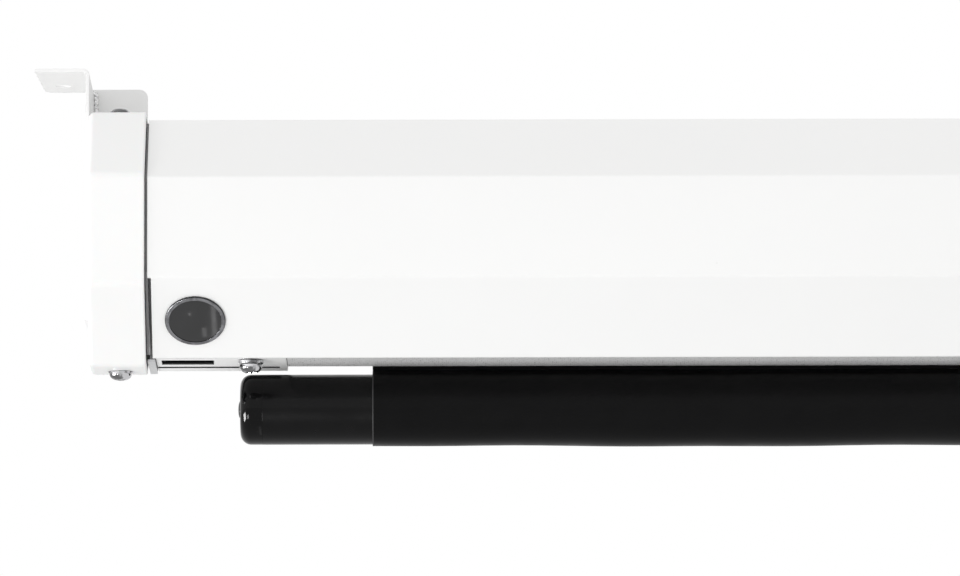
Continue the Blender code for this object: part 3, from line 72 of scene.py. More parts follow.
def makeCamera():
    turn, rise, roll = (math.radians(photoCamera[key]) for key in ("turn", "lookUp", "roll"))
    ahead = Vector((-math.sin(turn) * math.cos(rise), math.cos(turn) * math.cos(rise), math.sin(rise)))
    up = Vector((math.sin(turn) * math.sin(rise), -math.cos(turn) * math.sin(rise), math.cos(rise)))
    right = ahead.cross(up)
    rolledUp = up * math.cos(roll) + right * math.sin(roll)
    rolledRight = right * math.cos(roll) - up * math.sin(roll)
    data = bpy.data.cameras.new("photoCamera")
    data.sensor_fit = "HORIZONTAL"
    data.sensor_width = photoCamera["sensor"]
    data.lens = photoCamera["lens"]
    data.clip_start, data.clip_end = photoCamera["clip"]
    camera = bpy.data.objects.new("photoCamera", data)
    scene.collection.objects.link(camera)
    axes = Matrix((rolledRight, rolledUp, -ahead)).transposed().to_4x4()
    place = Vector(photoCamera["target"]) - ahead * photoCamera["distance"]
    camera.matrix_world = Matrix.Translation(place) @ axes
    scene.camera = camera


makeCamera()

# A white studio: light from all sides, stronger from the left and a little stronger from below
studio = {
    "evenLight": 1.032,
    "leftLight": 0.36,
    "lowLight": 0.08,
    "backdrop": 1.0,
    "floorHeight": -2.4,
    "floorThick": 0.1,
    "floorSize": 600.0,
    "floorColour": (0.805, 0.805, 0.805),
}

# A lamp without an aim lies below and shines straight up. One that is for glints lights only what is glossy
lamps = {
    # Low in front and to the left
    "softLamp": {"place": (-1.88, -1.25, -0.89), "aim": (-0.95, -0.05, -0.10), "size": (0.34, 0.34),
                 "power": 8.5, "glintsOnly": False},
    # Long and narrow, for the pale stripe in the eye's window
    "stripLamp": {"place": (-0.977, -0.30, -1.50), "size": (0.019, 0.90), "power": 0.082,
                  "glintsOnly": False},
    # Small, for the window's spot and the gleam beside it
    "glintLamp1": {"place": (-1.078, -0.288, -1.475), "size": (0.007, 0.014), "power": 0.0011,
                   "glintsOnly": True},
    "glintLamp2": {"place": (-1.018, -0.172, -1.494), "size": (0.018, 0.060), "power": 0.0040,
                   "glintsOnly": True},
    # A soft box at the far left, for the glints on the bar's plug and the chrome
    "sideLamp": {"place": (-2.094, -0.359, -0.506), "aim": (-1.004, -0.037, -0.123), "size": (0.52, 0.38),
                 "power": 34.0, "glintsOnly": True},
}


def addLamp(name, look):
    lamp = bpy.data.lights.new(name, "AREA")
    lamp.shape = "RECTANGLE"
    lamp.size, lamp.size_y = look["size"]
    lamp.energy = look["power"]
    holder = bpy.data.objects.new(name, lamp)
    scene.collection.objects.link(holder)
    place = Vector(look["place"])
    ahead = Vector(look["aim"]) - place if "aim" in look else Vector((0, 0, 1))
    holder.location = place
    holder.rotation_euler = ahead.to_track_quat("-Z", "Y").to_euler()
    holder.visible_camera = False
    holder.visible_diffuse = not look["glintsOnly"]


def addNode(tree, kind, inputs=None, **settings):
    # Another node's output is linked to its socket; a number or a colour is set on it
    node = tree.nodes.new(kind)
    for setting, value in settings.items():
        setattr(node, setting, value)
    for socket, value in (inputs or {}).items():
        if isinstance(value, bpy.types.NodeSocket):
            tree.links.new(value, node.inputs[socket])
        else:
            node.inputs[socket].default_value = value
    return node


def makeStudio():
    world = bpy.data.worlds.new("studio")
    scene.world = world
    world.use_nodes = True
    tree = world.node_tree
    tree.nodes.clear()
    white = (1, 1, 1, 1)
    direction = addNode(tree, "ShaderNodeTexCoord").outputs["Generated"]
    ways = addNode(tree, "ShaderNodeSeparateXYZ", {0: direction}).outputs
    power = studio["evenLight"]
    for way, share in (("X", studio["leftLight"]), ("Z", studio["lowLight"])):
        power = addNode(tree, "ShaderNodeMath", {0: ways[way], 1: -share, 2: power},
                        operation="MULTIPLY_ADD").outputs[0]
    light = addNode(tree, "ShaderNodeBackground", {"Color": white, "Strength": power})
    backdrop = addNode(tree, "ShaderNodeBackground", {"Color": white, "Strength": studio["backdrop"]})
    inView = addNode(tree, "ShaderNodeLightPath").outputs["Is Camera Ray"]
    mix = addNode(tree, "ShaderNodeMixShader", {0: inView, 1: light.outputs[0], 2: backdrop.outputs[0]})
    addNode(tree, "ShaderNodeOutputWorld", {"Surface": mix.outputs[0]})
    for name, look in lamps.items():
        addLamp(name, look)
    scene.view_settings.view_transform = "Standard"
    scene.view_settings.look = "None"


makeStudio()
print("camera and studio light are set")


# Finishes. Every size in them is in metres, because a piece's own coordinates are the room's
def surface(name, look):
    material = bpy.data.materials.new(name)
    material.use_nodes = True
    tree = material.node_tree
    shader = tree.nodes["Principled BSDF"]
    place = addNode(tree, "ShaderNodeTexCoord").outputs["Object"]
    for socket, value in look.get("sockets", {}).items():
        shader.inputs[socket].default_value = value

    def noise(size, detail, ways=None):
        where = place
        if ways:
            where = addNode(tree, "ShaderNodeMapping", {"Vector": place, "Scale": ways}).outputs[0]
        texture = addNode(tree, "ShaderNodeTexNoise", {"Vector": where, "Scale": 1 / size, "Detail": detail})
        return texture.outputs["Fac"]

    def ranged(value, low, high, fromLow=0.3, fromHigh=0.7):
        limits = {"Value": value, "From Min": fromLow, "From Max": fromHigh, "To Min": low, "To Max": high}
        return addNode(tree, "ShaderNodeMapRange", limits).outputs[0]

    def maths(operation, first, second=0.0):
        return addNode(tree, "ShaderNodeMath", {0: first, 1: second}, operation=operation).outputs[0]

    def vectorMaths(operation, *values):
        return addNode(tree, "ShaderNodeVectorMath", dict(enumerate(values)), operation=operation).outputs

    def mixed(share, first, second):
        colours = {"Factor": share, 6: first, 7: second}
        return addNode(tree, "ShaderNodeMix", colours, data_type="RGBA").outputs[2]

    # Colour that drifts a little from place to place
    darker = [c * (1 - look["drift"]) for c in look["colour"]]
    lighter = [min(1.0, c * (1 + look["drift"])) for c in look["colour"]]
    edge = look.get("driftEdge", 0.2)
    drift = noise(look["driftSize"], 4.0, look.get("driftWays"))
    colour = mixed(ranged(drift, 0.0, 1.0, 0.5 - edge, 0.5 + edge), (*darker, 1.0), (*lighter, 1.0))
    # Grains or specks: some cells of a scatter get another colour, softly at the rim
    for cell, part, dot, tint in look.get("specks", ()):
        scatter = addNode(tree, "ShaderNodeTexVoronoi", {"Vector": place, "Scale": 1 / cell}).outputs
        chance = addNode(tree, "ShaderNodeSeparateColor", {0: scatter["Color"]}).outputs[0]
        near = ranged(scatter["Distance"], 1.0, 0.0, dot * 0.6, dot)
        share = maths("MULTIPLY", maths("LESS_THAN", chance, part), near)
        colour = mixed(share, colour, (*tint, 1.0))
    tree.links.new(colour, shader.inputs["Base Color"])
    rough = ranged(noise(look.get("roughSize", 0.03), 3.0, look.get("roughWays")), *look["roughness"])
    tree.links.new(rough, shader.inputs["Roughness"])
    # Height of the skin: noises of several sizes, a weave, or lines left by a tool
    heights = []
    for size, depth in look.get("grain", ()):
        heights.append(maths("MULTIPLY", noise(size, 1.5), depth))
    for ways, size, depth in look.get("lines", ()):
        heights.append(maths("MULTIPLY", noise(size, 2.0, ways), depth))
    if "weave" in look:
        thread, depth = look["weave"]
        wave = {"Vector": place, "Scale": 0.05 / thread * 2 * math.pi, "Distortion": 0.6}
        threads = [addNode(tree, "ShaderNodeTexWave", wave, bands_direction=axis).outputs["Fac"]
                   for axis in ("X", "Z")]
        heights.append(maths("MULTIPLY", maths("MAXIMUM", *threads), depth))
    if "rings" in look:
        # Turns of wound fabric, seen from the roll's end
        centre, pitch, depth = look["rings"]
        aside = vectorMaths("MULTIPLY", vectorMaths("SUBTRACT", place, centre)[0], (0, 1, 1))[0]
        length = vectorMaths("LENGTH", aside)["Value"]
        turns = maths("SINE", maths("MULTIPLY", length, 2 * math.pi / pitch))
        heights.append(maths("MULTIPLY", turns, depth))
    if heights:
        total = heights[0]
        for extra in heights[1:]:
            total = maths("ADD", total, extra)
        bump = addNode(tree, "ShaderNodeBump", {"Strength": 1.0, "Distance": 1.0, "Height": total})
        tree.links.new(bump.outputs[0], shader.inputs["Normal"])
    return material


rollerAxis = (0.0, -0.0510, -0.0607)

looks = {
    "whitePowderCoat": {
        "colour": (0.875, 0.875, 0.87), "drift": 0.012, "driftSize": 0.18,
        "roughness": (0.36, 0.50), "roughSize": 0.02,
        "grain": ((0.0011, 0.000010), (0.00035, 0.000004)),
        "specks": ((0.011, 0.05, 0.045, (0.83, 0.83, 0.82)),),
    },
    # The brackets' white, a little darker than the case's as painted shade, with less gloss
    "shadedBracketCoat": {
        "colour": (0.845, 0.845, 0.84), "drift": 0.012, "driftSize": 0.05,
        "roughness": (0.40, 0.52), "roughSize": 0.012,
        "grain": ((0.0011, 0.000010), (0.00035, 0.000004)),
        "sockets": {"Specular IOR Level": 0.25},
    },
    # Grey painted shade for the underside above the bar, with light and dark specks painted as the sparkle
    # of its coarse skin
    "coarseShadedUnderside": {
        "colour": (0.68, 0.68, 0.68), "drift": 0.05, "driftSize": 0.05,
        "roughness": (0.35, 0.60), "roughSize": 0.002,
        "grain": ((0.0007, 0.00006), (0.00035, 0.00003)),
        "specks": ((0.0006, 0.40, 0.45, (0.80, 0.80, 0.80)), (0.0007, 0.35, 0.45, (0.24, 0.24, 0.24))),
    },
    "whiteMoulding": {
        "colour": (0.878, 0.878, 0.873), "drift": 0.008, "driftSize": 0.05,
        "roughness": (0.36, 0.46), "roughSize": 0.008,
        "grain": ((0.0005, 0.000003), (0.012, 0.000020)),
        "sockets": {"Subsurface Weight": 0.05, "Subsurface Scale": 0.002},
    },
    "zincPlate": {
        "colour": (0.62, 0.625, 0.635), "drift": 0.10, "driftSize": 0.012,
        "roughness": (0.24, 0.42), "roughSize": 0.006,
        "grain": ((0.0016, 0.000006),), "lines": (((1, 1, 14), 0.004, 0.000004),),
        "sockets": {"Metallic": 1.0},
    },
    "brightPlate": {
        "colour": (0.80, 0.80, 0.81), "drift": 0.05, "driftSize": 0.003,
        "roughness": (0.07, 0.18), "roughSize": 0.0015,
        "grain": ((0.0012, 0.000003),),
        "sockets": {"Metallic": 1.0},
    },
    "weldBead": {
        "colour": (0.96, 0.96, 0.96), "drift": 0.35, "driftSize": 0.0011,
        "roughness": (0.06, 0.16), "roughSize": 0.0012,
        "grain": ((0.0009, 0.000008),),
        "sockets": {"Metallic": 1.0},
    },
    "dullChrome": {
        "colour": (0.20, 0.20, 0.21), "drift": 0.25, "driftSize": 0.004, "driftEdge": 0.06,
        "roughness": (0.16, 0.26), "roughSize": 0.002,
        "grain": ((0.0012, 0.000003),),
        "sockets": {"Metallic": 1.0},
    },
    # Near-black chrome: the painted shadow line round the eye's bezel
    "shadowLineChrome": {
        "colour": (0.050, 0.050, 0.052), "drift": 0.15, "driftSize": 0.004,
        "roughness": (0.20, 0.30), "roughSize": 0.002,
        "grain": ((0.0012, 0.000003),),
        "sockets": {"Metallic": 1.0},
    },
    # Its colour swings widely in small sharp patches: painted dark and bright reflections on the screws and
    # washers
    "screwChrome": {
        "colour": (0.42, 0.42, 0.43), "drift": 0.60, "driftSize": 0.0034, "driftEdge": 0.05,
        "roughness": (0.08, 0.18), "roughSize": 0.0015,
        "grain": ((0.0012, 0.000004),),
        "sockets": {"Metallic": 1.0},
    },
    # Dark grey painted shade for the end plates, seen in the seam beside the caps
    "seamShadeSteel": {
        "colour": (0.31, 0.31, 0.315), "drift": 0.10, "driftSize": 0.008,
        "roughness": (0.45, 0.60), "roughSize": 0.004,
        "grain": ((0.0016, 0.000006),),
        "sockets": {"Metallic": 0.2},
    },
    # Near-black painted shade for the case's inside and the covers' cut slot edges, where no light reaches
    "insideShadeBlack": {
        "colour": (0.020, 0.020, 0.021), "drift": 0.15, "driftSize": 0.03,
        "roughness": (0.55, 0.70), "grain": ((0.0010, 0.000010),),
    },
    "smokedWindow": {
        "colour": (0.012, 0.012, 0.013), "drift": 0.25, "driftSize": 0.010,
        "roughness": (0.03, 0.07), "roughSize": 0.004,
        "grain": ((0.006, 0.000004),),
        "sockets": {"Coat Weight": 0.2, "Coat Roughness": 0.03},
    },
    "glossBlackPlug": {
        "colour": (0.0030, 0.0030, 0.0032), "drift": 0.10, "driftSize": 0.01,
        "roughness": (0.06, 0.11), "roughSize": 0.006,
        "grain": ((0.004, 0.000004),),
        "specks": ((0.009, 0.22, 0.030, (0.30, 0.30, 0.30)),),
        "sockets": {"Specular IOR Level": 0.14},
    },
    "glossBlackPaint": {
        "colour": (0.0028, 0.0028, 0.0030), "drift": 0.10, "driftSize": 0.02,
        "roughness": (0.18, 0.28), "roughSize": 0.008,
        "grain": ((0.0015, 0.000003), (0.010, 0.000012)),
        "specks": ((0.009, 0.16, 0.026, (0.26, 0.26, 0.26)),),
        "sockets": {"Specular IOR Level": 0.14},
    },
    "blackBorderFabric": {
        "colour": (0.0024, 0.0024, 0.0026), "drift": 0.12, "driftSize": 0.03,
        "roughness": (0.30, 0.42), "roughSize": 0.012,
        "grain": ((0.0009, 0.000010), (0.016, 0.000080)), "weave": (0.00045, 0.000004),
        "specks": ((0.012, 0.22, 0.024, (0.34, 0.34, 0.34)),),
        "sockets": {"Specular IOR Level": 0.09, "Sheen Weight": 0.01, "Sheen Roughness": 0.4},
    },
    "fabricCutEdge": {
        "colour": (0.026, 0.026, 0.027), "drift": 0.30, "driftSize": 0.003,
        "roughness": (0.55, 0.70), "grain": ((0.0004, 0.000020),),
    },
    "blackBacking": {
        "colour": (0.020, 0.020, 0.021), "drift": 0.10, "driftSize": 0.04,
        "roughness": (0.50, 0.62), "grain": ((0.0012, 0.000012),), "weave": (0.00045, 0.000010),
        "sockets": {"Sheen Weight": 0.08, "Sheen Roughness": 0.5},
    },
    "matteScreenWhite": {
        "colour": (0.84, 0.84, 0.835), "drift": 0.008, "driftSize": 0.20,
        "roughness": (0.72, 0.82), "grain": ((0.0010, 0.000006),), "weave": (0.00045, 0.000008),
        "sockets": {"Sheen Weight": 0.10, "Sheen Roughness": 0.5},
    },
    "rollEnd": {
        "colour": (0.30, 0.30, 0.30), "drift": 0.25, "driftSize": 0.002,
        "roughness": (0.60, 0.75), "rings": (rollerAxis, 0.0004, 0.00008),
    },
    "blackMoulding": {
        "colour": (0.022, 0.022, 0.024), "drift": 0.12, "driftSize": 0.02,
        "roughness": (0.38, 0.52), "grain": ((0.0005, 0.000008),),
    },
    "greyMoulding": {
        "colour": (0.30, 0.30, 0.31), "drift": 0.05, "driftSize": 0.03,
        "roughness": (0.42, 0.55), "grain": ((0.0006, 0.000008),),
    },
    "circuitBoard": {
        "colour": (0.020, 0.15, 0.055), "drift": 0.20, "driftSize": 0.004,
        "roughness": (0.28, 0.42), "lines": (((1, 0.15, 1), 0.0012, 0.000020),),
        "specks": ((0.0022, 0.35, 0.22, (0.55, 0.56, 0.55)),),
    },
    "drawnAluminium": {
        "colour": (0.66, 0.66, 0.67), "drift": 0.04, "driftSize": 0.03, "driftWays": (0.2, 1, 1),
        "roughness": (0.28, 0.44), "roughWays": (0.05, 1, 1),
        "lines": (((0.02, 1, 1), 0.0008, 0.000005),),
        "sockets": {"Metallic": 1.0, "Anisotropic": 0.4},
    },
    "plainBrass": {
        "colour": (0.70, 0.52, 0.25), "drift": 0.08, "driftSize": 0.006,
        "roughness": (0.24, 0.40), "lines": (((0.1, 1, 1), 0.0009, 0.000004),),
        "sockets": {"Metallic": 1.0},
    },
    "blackRubber": {
        "colour": (0.028, 0.028, 0.028), "drift": 0.15, "driftSize": 0.006,
        "roughness": (0.62, 0.80), "grain": ((0.0005, 0.000012),),
    },
}
finishes = {name: surface(name, look) for name, look in looks.items()}

slotFinishes = {
    "white_paint": "whitePowderCoat", "white_plastic": "whiteMoulding", "zinc_plate": "zincPlate",
    "chrome": "brightPlate", "dark_window": "smokedWindow", "black_gloss": "glossBlackPlug",
    "black_paint": "glossBlackPaint", "black_fabric": "blackBorderFabric",
    "screen_fabric": "matteScreenWhite", "black_plastic": "blackMoulding",
    "grey_plastic": "greyMoulding", "green_board": "circuitBoard", "aluminium": "drawnAluminium",
    "brass": "plainBrass", "rubber": "blackRubber",
}

# The workshop model's own pieces take the finish of their slot
for part in frame["record"]["subparts"]:
    node = frame["nodes"][part["node"]]
    for place in node.material_slots:
        place.material = finishes[slotFinishes[part["material_slot"]]]
print("finishes made:", len(finishes))


# Ways to make a form
toolReach = 0.004  # how far a cutting tool stands out of what it cuts


def roundPoint(radius, angle):
    return radius * math.cos(angle), radius * math.sin(angle)


def quarterTurn(steps):
    return [math.radians(90) * step / steps for step in range(steps + 1)]


def filleted(points, radius, steps=6, closed=False):
    # An outline whose corners are arcs; radius is one number, or one for each point
    radii = radius if isinstance(radius, (list, tuple)) else [radius] * len(points)
    result = []
    for index, point in enumerate(points):
        if radii[index] <= 0 or not closed and index in (0, len(points) - 1):
            result.append(tuple(point))
            continue
        before, corner = Vector(points[index - 1]), Vector(point)
        after = Vector(points[(index + 1) % len(points)])
        first, second = (before - corner).normalized(), (after - corner).normalized()
        half = first.angle(second) / 2
        reach = radii[index] / math.tan(half)
        centre = corner + (first + second).normalized() * (radii[index] / math.sin(half))
        start = corner + first * reach - centre
        sweep = start.angle_signed(corner + second * reach - centre)
        for step in range(steps + 1):
            result.append(tuple(centre + Matrix.Rotation(-sweep * step / steps, 2) @ start))
    return result


def made(name, bm, materials, sharp=35.0):
    bmesh.ops.recalc_face_normals(bm, faces=bm.faces)
    mesh = bpy.data.meshes.new(name)
    bm.to_mesh(mesh)
    bm.free()
    obj = bpy.data.objects.new(name, mesh)
    scene.collection.objects.link(obj)
    for material in materials:
        mesh.materials.append(finishes[material])
    mesh.shade_smooth()
    mesh.set_sharp_from_angle(angle=math.radians(sharp))
    return obj


def applied(obj):
    # What the modifiers give becomes the mesh
    graph = bpy.context.evaluated_depsgraph_get()
    mesh = bpy.data.meshes.new_from_object(obj.evaluated_get(graph))
    obj.modifiers.clear()
    old, obj.data = obj.data, mesh
    mesh.name = obj.name
    bpy.data.meshes.remove(old)


def settled(obj, sharp=35.0):
    # Applies the modifiers, then keeps flat faces flat beside their rounded edges
    applied(obj)
    obj.data.shade_smooth()
    obj.data.set_sharp_from_angle(angle=math.radians(sharp))
    even = obj.modifiers.new("evenNormals", "WEIGHTED_NORMAL")
    even.keep_sharp = True
    applied(obj)


def cutOut(obj, tools):
    for tool in tools:
        cut = obj.modifiers.new(tool.name, "BOOLEAN")
        cut.operation = "DIFFERENCE"
        cut.solver = "EXACT"
        cut.object = tool
    applied(obj)
    for tool in tools:
        bpy.data.objects.remove(tool)


def meshAlone(obj):
    # For a form whose mesh several pieces share
    mesh = obj.data
    bpy.data.objects.remove(obj)
    return mesh


def placedOn(obj, body, slot, *stoodFor):
    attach(obj, body)
    if stoodFor:
        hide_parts(*stoodFor)


def skin(bm, one, two, closed=True):
    # Faces between two rows of points
    faces = []
    for index in range(len(one) if closed else len(one) - 1):
        after = (index + 1) % len(one)
        faces.append(bm.faces.new((one[index], one[after], two[after], two[index])))
    return faces


def standing(base, direction):
    # The place of what stands on a point and faces a direction
    turn = Vector((0, 0, 1)).rotation_difference(Vector(direction)).to_matrix().to_4x4()
    return Matrix.Translation(base) @ turn


def turned(bm, profile, base, direction, sides=64):
    # A profile of radius and height, turned about an axis
    place = standing(base, direction)
    rows = []
    for radius, height in profile:
        if radius < 1e-9:
            rows.append([bm.verts.new(place @ Vector((0, 0, height)))])
            continue
        steps = [2 * math.pi * index / sides for index in range(sides)]
        rows.append([bm.verts.new(place @ Vector((*roundPoint(radius, angle), height))) for angle in steps])
    pairs = list(zip(rows, rows[1:]))
    if profile[0][0] > 0:
        pairs.append((rows[-1], rows[0]))
    for one, two in pairs:
        for index in range(sides):
            after = (index + 1) % sides
            corners = [one[index % len(one)], one[after % len(one)], two[after % len(two)],
                       two[index % len(two)]]
            bm.faces.new(list(dict.fromkeys(corners)))


def joined(bm, rings):
    # Rings of points joined into one closed form
    rows = [[bm.verts.new(point) for point in ring] for ring in rings]
    for one, two in zip(rows, rows[1:]):
        skin(bm, one, two)
    bm.faces.new(rows[0])
    bm.faces.new(list(reversed(rows[-1])))


def drill(name, radius, place, direction, sides=48):
    # A round tool that reaches to both sides of a place
    reach = Vector(direction) * toolReach
    start, end = Vector(place) - reach, Vector(place) + reach
    length = (end - start).length
    bm = bmesh.new()
    turned(bm, [(0, 0), (radius, 0), (radius, length), (0, length)], start, end - start, sides)
    return made(name, bm, ())


def plate(name, outlines, thickness, axes, centre, materials=()):
    # A flat plate from its outline and the outlines of its holes
    curve = bpy.data.curves.new(name, "CURVE")
    curve.dimensions = "2D"
    curve.fill_mode = "BOTH"
    curve.extrude = thickness / 2
    for outline in outlines:
        spline = curve.splines.new("POLY")
        spline.points.add(len(outline) - 1)
        for point, (a, b) in zip(spline.points, outline):
            point.co = (a, b, 0, 1)
        spline.use_cyclic_u = True
    holder = bpy.data.objects.new(name, curve)
    scene.collection.objects.link(holder)
    graph = bpy.context.evaluated_depsgraph_get()
    filled = bpy.data.meshes.new_from_object(holder.evaluated_get(graph))
    bpy.data.objects.remove(holder)
    bm = bmesh.new()
    bm.from_mesh(filled)
    bpy.data.meshes.remove(filled)
    bmesh.ops.remove_doubles(bm, verts=bm.verts, dist=1e-6)
    bm.transform(Matrix.Translation(centre) @ axes.to_4x4())
    return made(name, bm, materials)


def foldedSheet(name, path, sweep, facing, thickness, materials):
    # An open path swept into a skin that faces one way and thickened; the last material is the inside's
    bm = bmesh.new()
    one = [bm.verts.new(Vector(point)) for point in path]
    two = [bm.verts.new(Vector(point) + Vector(sweep)) for point in path]
    skin(bm, one, two, closed=False)
    bm.normal_update()
    if sum(face.normal.dot(Vector(facing)) * face.calc_area() for face in bm.faces) < 0:
        bmesh.ops.reverse_faces(bm, faces=bm.faces)
    obj = made(name, bm, materials)
    solid = obj.modifiers.new("sheet", "SOLIDIFY")
    solid.thickness, solid.offset, solid.use_even_offset = thickness, -1, True
    solid.material_offset = len(materials) - 1
    return obj


def softEdges(obj, width, segments=2, angle=50.0):
    edges = obj.modifiers.new("softEdges", "BEVEL")
    edges.width = width
    edges.segments = segments
    edges.limit_method = "ANGLE"
    edges.angle_limit = math.radians(angle)
    edges.use_clamp_overlap = True
    edges.miter_outer = "MITER_ARC"


# Places along the case, in its depth and in its height
caseLow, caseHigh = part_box("case_shell")
across = Matrix(((0, 0, 1), (1, 0, 0), (0, 1, 0)))
level = Matrix.Identity(3)
facingFront = Matrix(((1, 0, 0), (0, 0, -1), (0, 1, 0)))
sides = {"left": -1, "right": 1}


def along(side, inset):
    return side * (caseHigh.x - inset)


def deep(depth):
    return caseLow.y + depth


def high(height):
    return caseLow.z + height


def spanX(side, first, last):
    return sorted((along(side, first), along(side, last)))


def block(name, side, insets, depths, heights):
    xLow, xHigh = spanX(side, *insets)
    yLow, yHigh = (deep(depth) for depth in depths)
    corners = [(xLow, yLow), (xHigh, yLow), (xHigh, yHigh), (xLow, yHigh)]
    bm = bmesh.new()
    joined(bm, [[(x, y, high(height)) for x, y in corners] for height in heights])
    return made(name, bm, ())


def slotOutline(xLow, xHigh, yLow, yHigh, steps=10):
    radius = min(xHigh - xLow, yHigh - yLow) / 2 * 0.999
    corners = [(xLow, yLow), (xHigh, yLow), (xHigh, yHigh), (xLow, yHigh)]
    return filleted(corners, radius, steps, closed=True)


def onBothSides(make):
    for name, side in sides.items():
        make(name, side)


# Case: one folded steel sheet with the fabric slot along its underside
caseShape = {
    "depth": 0.080, "height": 0.085, "sheet": 0.0010, "bend": 0.0014, "bendSteps": 8, "softEdge": 0.00012,
    "topChamfer": 0.0235, "lowChamfer": 0.0255, "lipEnd": 0.0523, "slot": 0.0085, "hem": 0.0040,
    "coverEnd": 0.0489, "plateRoom": 0.0024, "footRoom": (0.0653, 0.0145), "endRelief": 0.0013,
    "spare": 0.0003,
    "screwHole": 0.0022, "screwInset": 0.0090, "screwTopDepth": 0.0510, "screwRearHeight": 0.0450,
    "grommetInset": 0.0420, "grommetDepth": 0.0440, "grommetHole": 0.0068,
    "eyeInset": 0.0167, "eyeHeight": 0.0121, "eyeHole": 0.0097,
}
eyeOut = Vector((0, -1, -1)).normalized()
eyePlace = Vector((along(-1, caseShape["eyeInset"]),
                   deep(caseShape["lowChamfer"] - caseShape["eyeHeight"]), high(caseShape["eyeHeight"])))


def makeCase():
    c = caseShape
    slotRear = c["lipEnd"] + c["slot"]
    corners = [
        (c["lipEnd"], c["hem"]), (c["lipEnd"], 0), (c["lowChamfer"], 0), (0, c["lowChamfer"]),
        (0, c["height"] - c["topChamfer"]), (c["topChamfer"], c["height"]),
        (c["depth"] - c["topChamfer"], c["height"]), (c["depth"], c["height"] - c["topChamfer"]),
        (c["depth"], c["depth"] - c["lipEnd"]), (slotRear, c["slot"]), (slotRear, c["slot"] + c["hem"]),
    ]
    section = filleted(corners, c["bend"], c["bendSteps"])
    path = [(caseLow.x, deep(d), high(z)) for d, z in section]
    # The inside gets the near-black finish as painted shade
    obj = foldedSheet("foldedCase", path, (caseHigh.x - caseLow.x, 0, 0), (0, -1, 0), c["sheet"],
                      ("whitePowderCoat", "coarseShadedUnderside", "insideShadeBlack"))
    # Each end is notched for the slot's cover and the end plate's foot, and relieved on the lower chamfer
    rear = slotRear + c["sheet"] + c["spare"]
    footDepth, footHeight = c["footRoom"]
    notches = [
        (c["coverEnd"], (c["lowChamfer"] + c["bend"], rear), c["slot"] + c["hem"] + c["spare"]),
        (c["plateRoom"], (rear - toolReach, footDepth), footHeight),
        (c["endRelief"], (-toolReach, c["depth"] / 2), c["lowChamfer"]),
    ]
    tools = []
    for side in sides.values():
        for inset, depths, top in notches:
            tools.append(block("notch", side, (-toolReach, inset), depths, (-toolReach, top)))
        x = along(side, c["screwInset"])
        tools.append(drill("topHole", c["screwHole"], (x, deep(c["screwTopDepth"]), high(c["height"])),
                           (0, 0, 1)))
        tools.append(drill("rearHole", c["screwHole"], (x, deep(c["depth"]), high(c["screwRearHeight"])),
                           (0, 1, 0)))
    tools.append(drill("eyeHole", c["eyeHole"], eyePlace, eyeOut, 96))
    bush = (along(-1, c["grommetInset"]), deep(c["grommetDepth"]), high(c["height"]))
    tools.append(drill("bushHole", c["grommetHole"], bush, (0, 0, 1)))
    cutOut(obj, tools)
    softEdges(obj, c["softEdge"], 1)
    settled(obj)
    # The narrow underside has a coarser skin than the folds that face the room, and a darker grey painted on
    # as shade
    for face in obj.data.polygons:
        low = face.center.z < high(0.0002) and face.normal.z < -0.99
        if low and abs(face.center.x) < caseHigh.x - c["coverEnd"] + 0.001:
            face.material_index = 1
    placedOn(obj, "housing", "white_paint", "case_shell")


makeCase()
print("case folded")

# End caps: hollow mouldings with rounded rims, a little proud of the case
capShape = {
    "seam": 0.0010, "width": 0.0204, "wall": 0.0020, "proud": 0.0020, "rise": 0.0030, "drop": 0.0033,
    "cornerRadius": 0.0040, "leastRadius": 0.0004, "outerRim": 0.0019, "innerRim": 0.0007,
    "screwTopInset": 0.0109, "screwTopDepth": 0.0400, "screwLowInset": 0.0104, "screwLowDepth": 0.0380,
    "boltDepth": 0.0600, "boltHeights": (0.0300, 0.0580), "boltFace": 0.0228, "boltHole": 0.0027,
    "seatRadius": 0.00525, "seatRoom": 0.0010, "seatEnd": 0.0120,
    "bossRadius": 0.0050, "bossStart": 0.0012, "boltBoss": 0.0172, "screwBoss": 0.0016,
}


def boltSeat(side, height):
    # The bolt's cone runs through the bracket's side plate into the cap's wall
    k = capShape
    profile = [(0, k["seatRoom"]), (k["seatRadius"] + k["seatRoom"], k["seatRoom"]),
               (k["boltHole"], k["boltHole"] - k["seatRadius"]), (k["boltHole"], -k["seatEnd"]),
               (0, -k["seatEnd"])]
    bm = bmesh.new()
    turned(bm, profile, (along(side, -k["boltFace"]), deep(k["boltDepth"]), high(height)), (side, 0, 0), 48)
    return made("boltSeat", bm, ())


def capSection(inward):
    # The cap's outline, shrunk by the same amount all round
    c, k = caseShape, capShape
    shrink = (2 - math.sqrt(2)) * inward
    skew = math.sqrt(2)
    front, rear = -k["proud"] + inward, c["depth"] - inward
    top, bottom = c["height"] + k["rise"] - inward, -k["drop"] + inward
    topFront = c["topChamfer"] + k["rise"] + (1 - skew) * k["proud"] - shrink
    topRear = c["topChamfer"] + k["rise"] - shrink
    lowRear = c["depth"] - c["lipEnd"] + k["drop"] - shrink
    lowFront = c["lowChamfer"] + k["proud"] + (1 - skew) * k["drop"] - shrink
    corners = [
        (front + lowFront, bottom), (front, bottom + lowFront), (front, top - topFront),
        (front + topFront, top), (rear - topRear, top), (rear, top - topRear),
        (rear, bottom + lowRear), (rear - lowRear, bottom),
    ]
    rounded = filleted(corners, max(k["cornerRadius"] - inward, k["leastRadius"]), 6, closed=True)
    return [(deep(d), high(z)) for d, z in rounded]


def capForm(name, stations, materials):
    bm = bmesh.new()
    joined(bm, [[(x, y, z) for y, z in capSection(inward)] for x, inward in stations])
    return made(name, bm, materials)


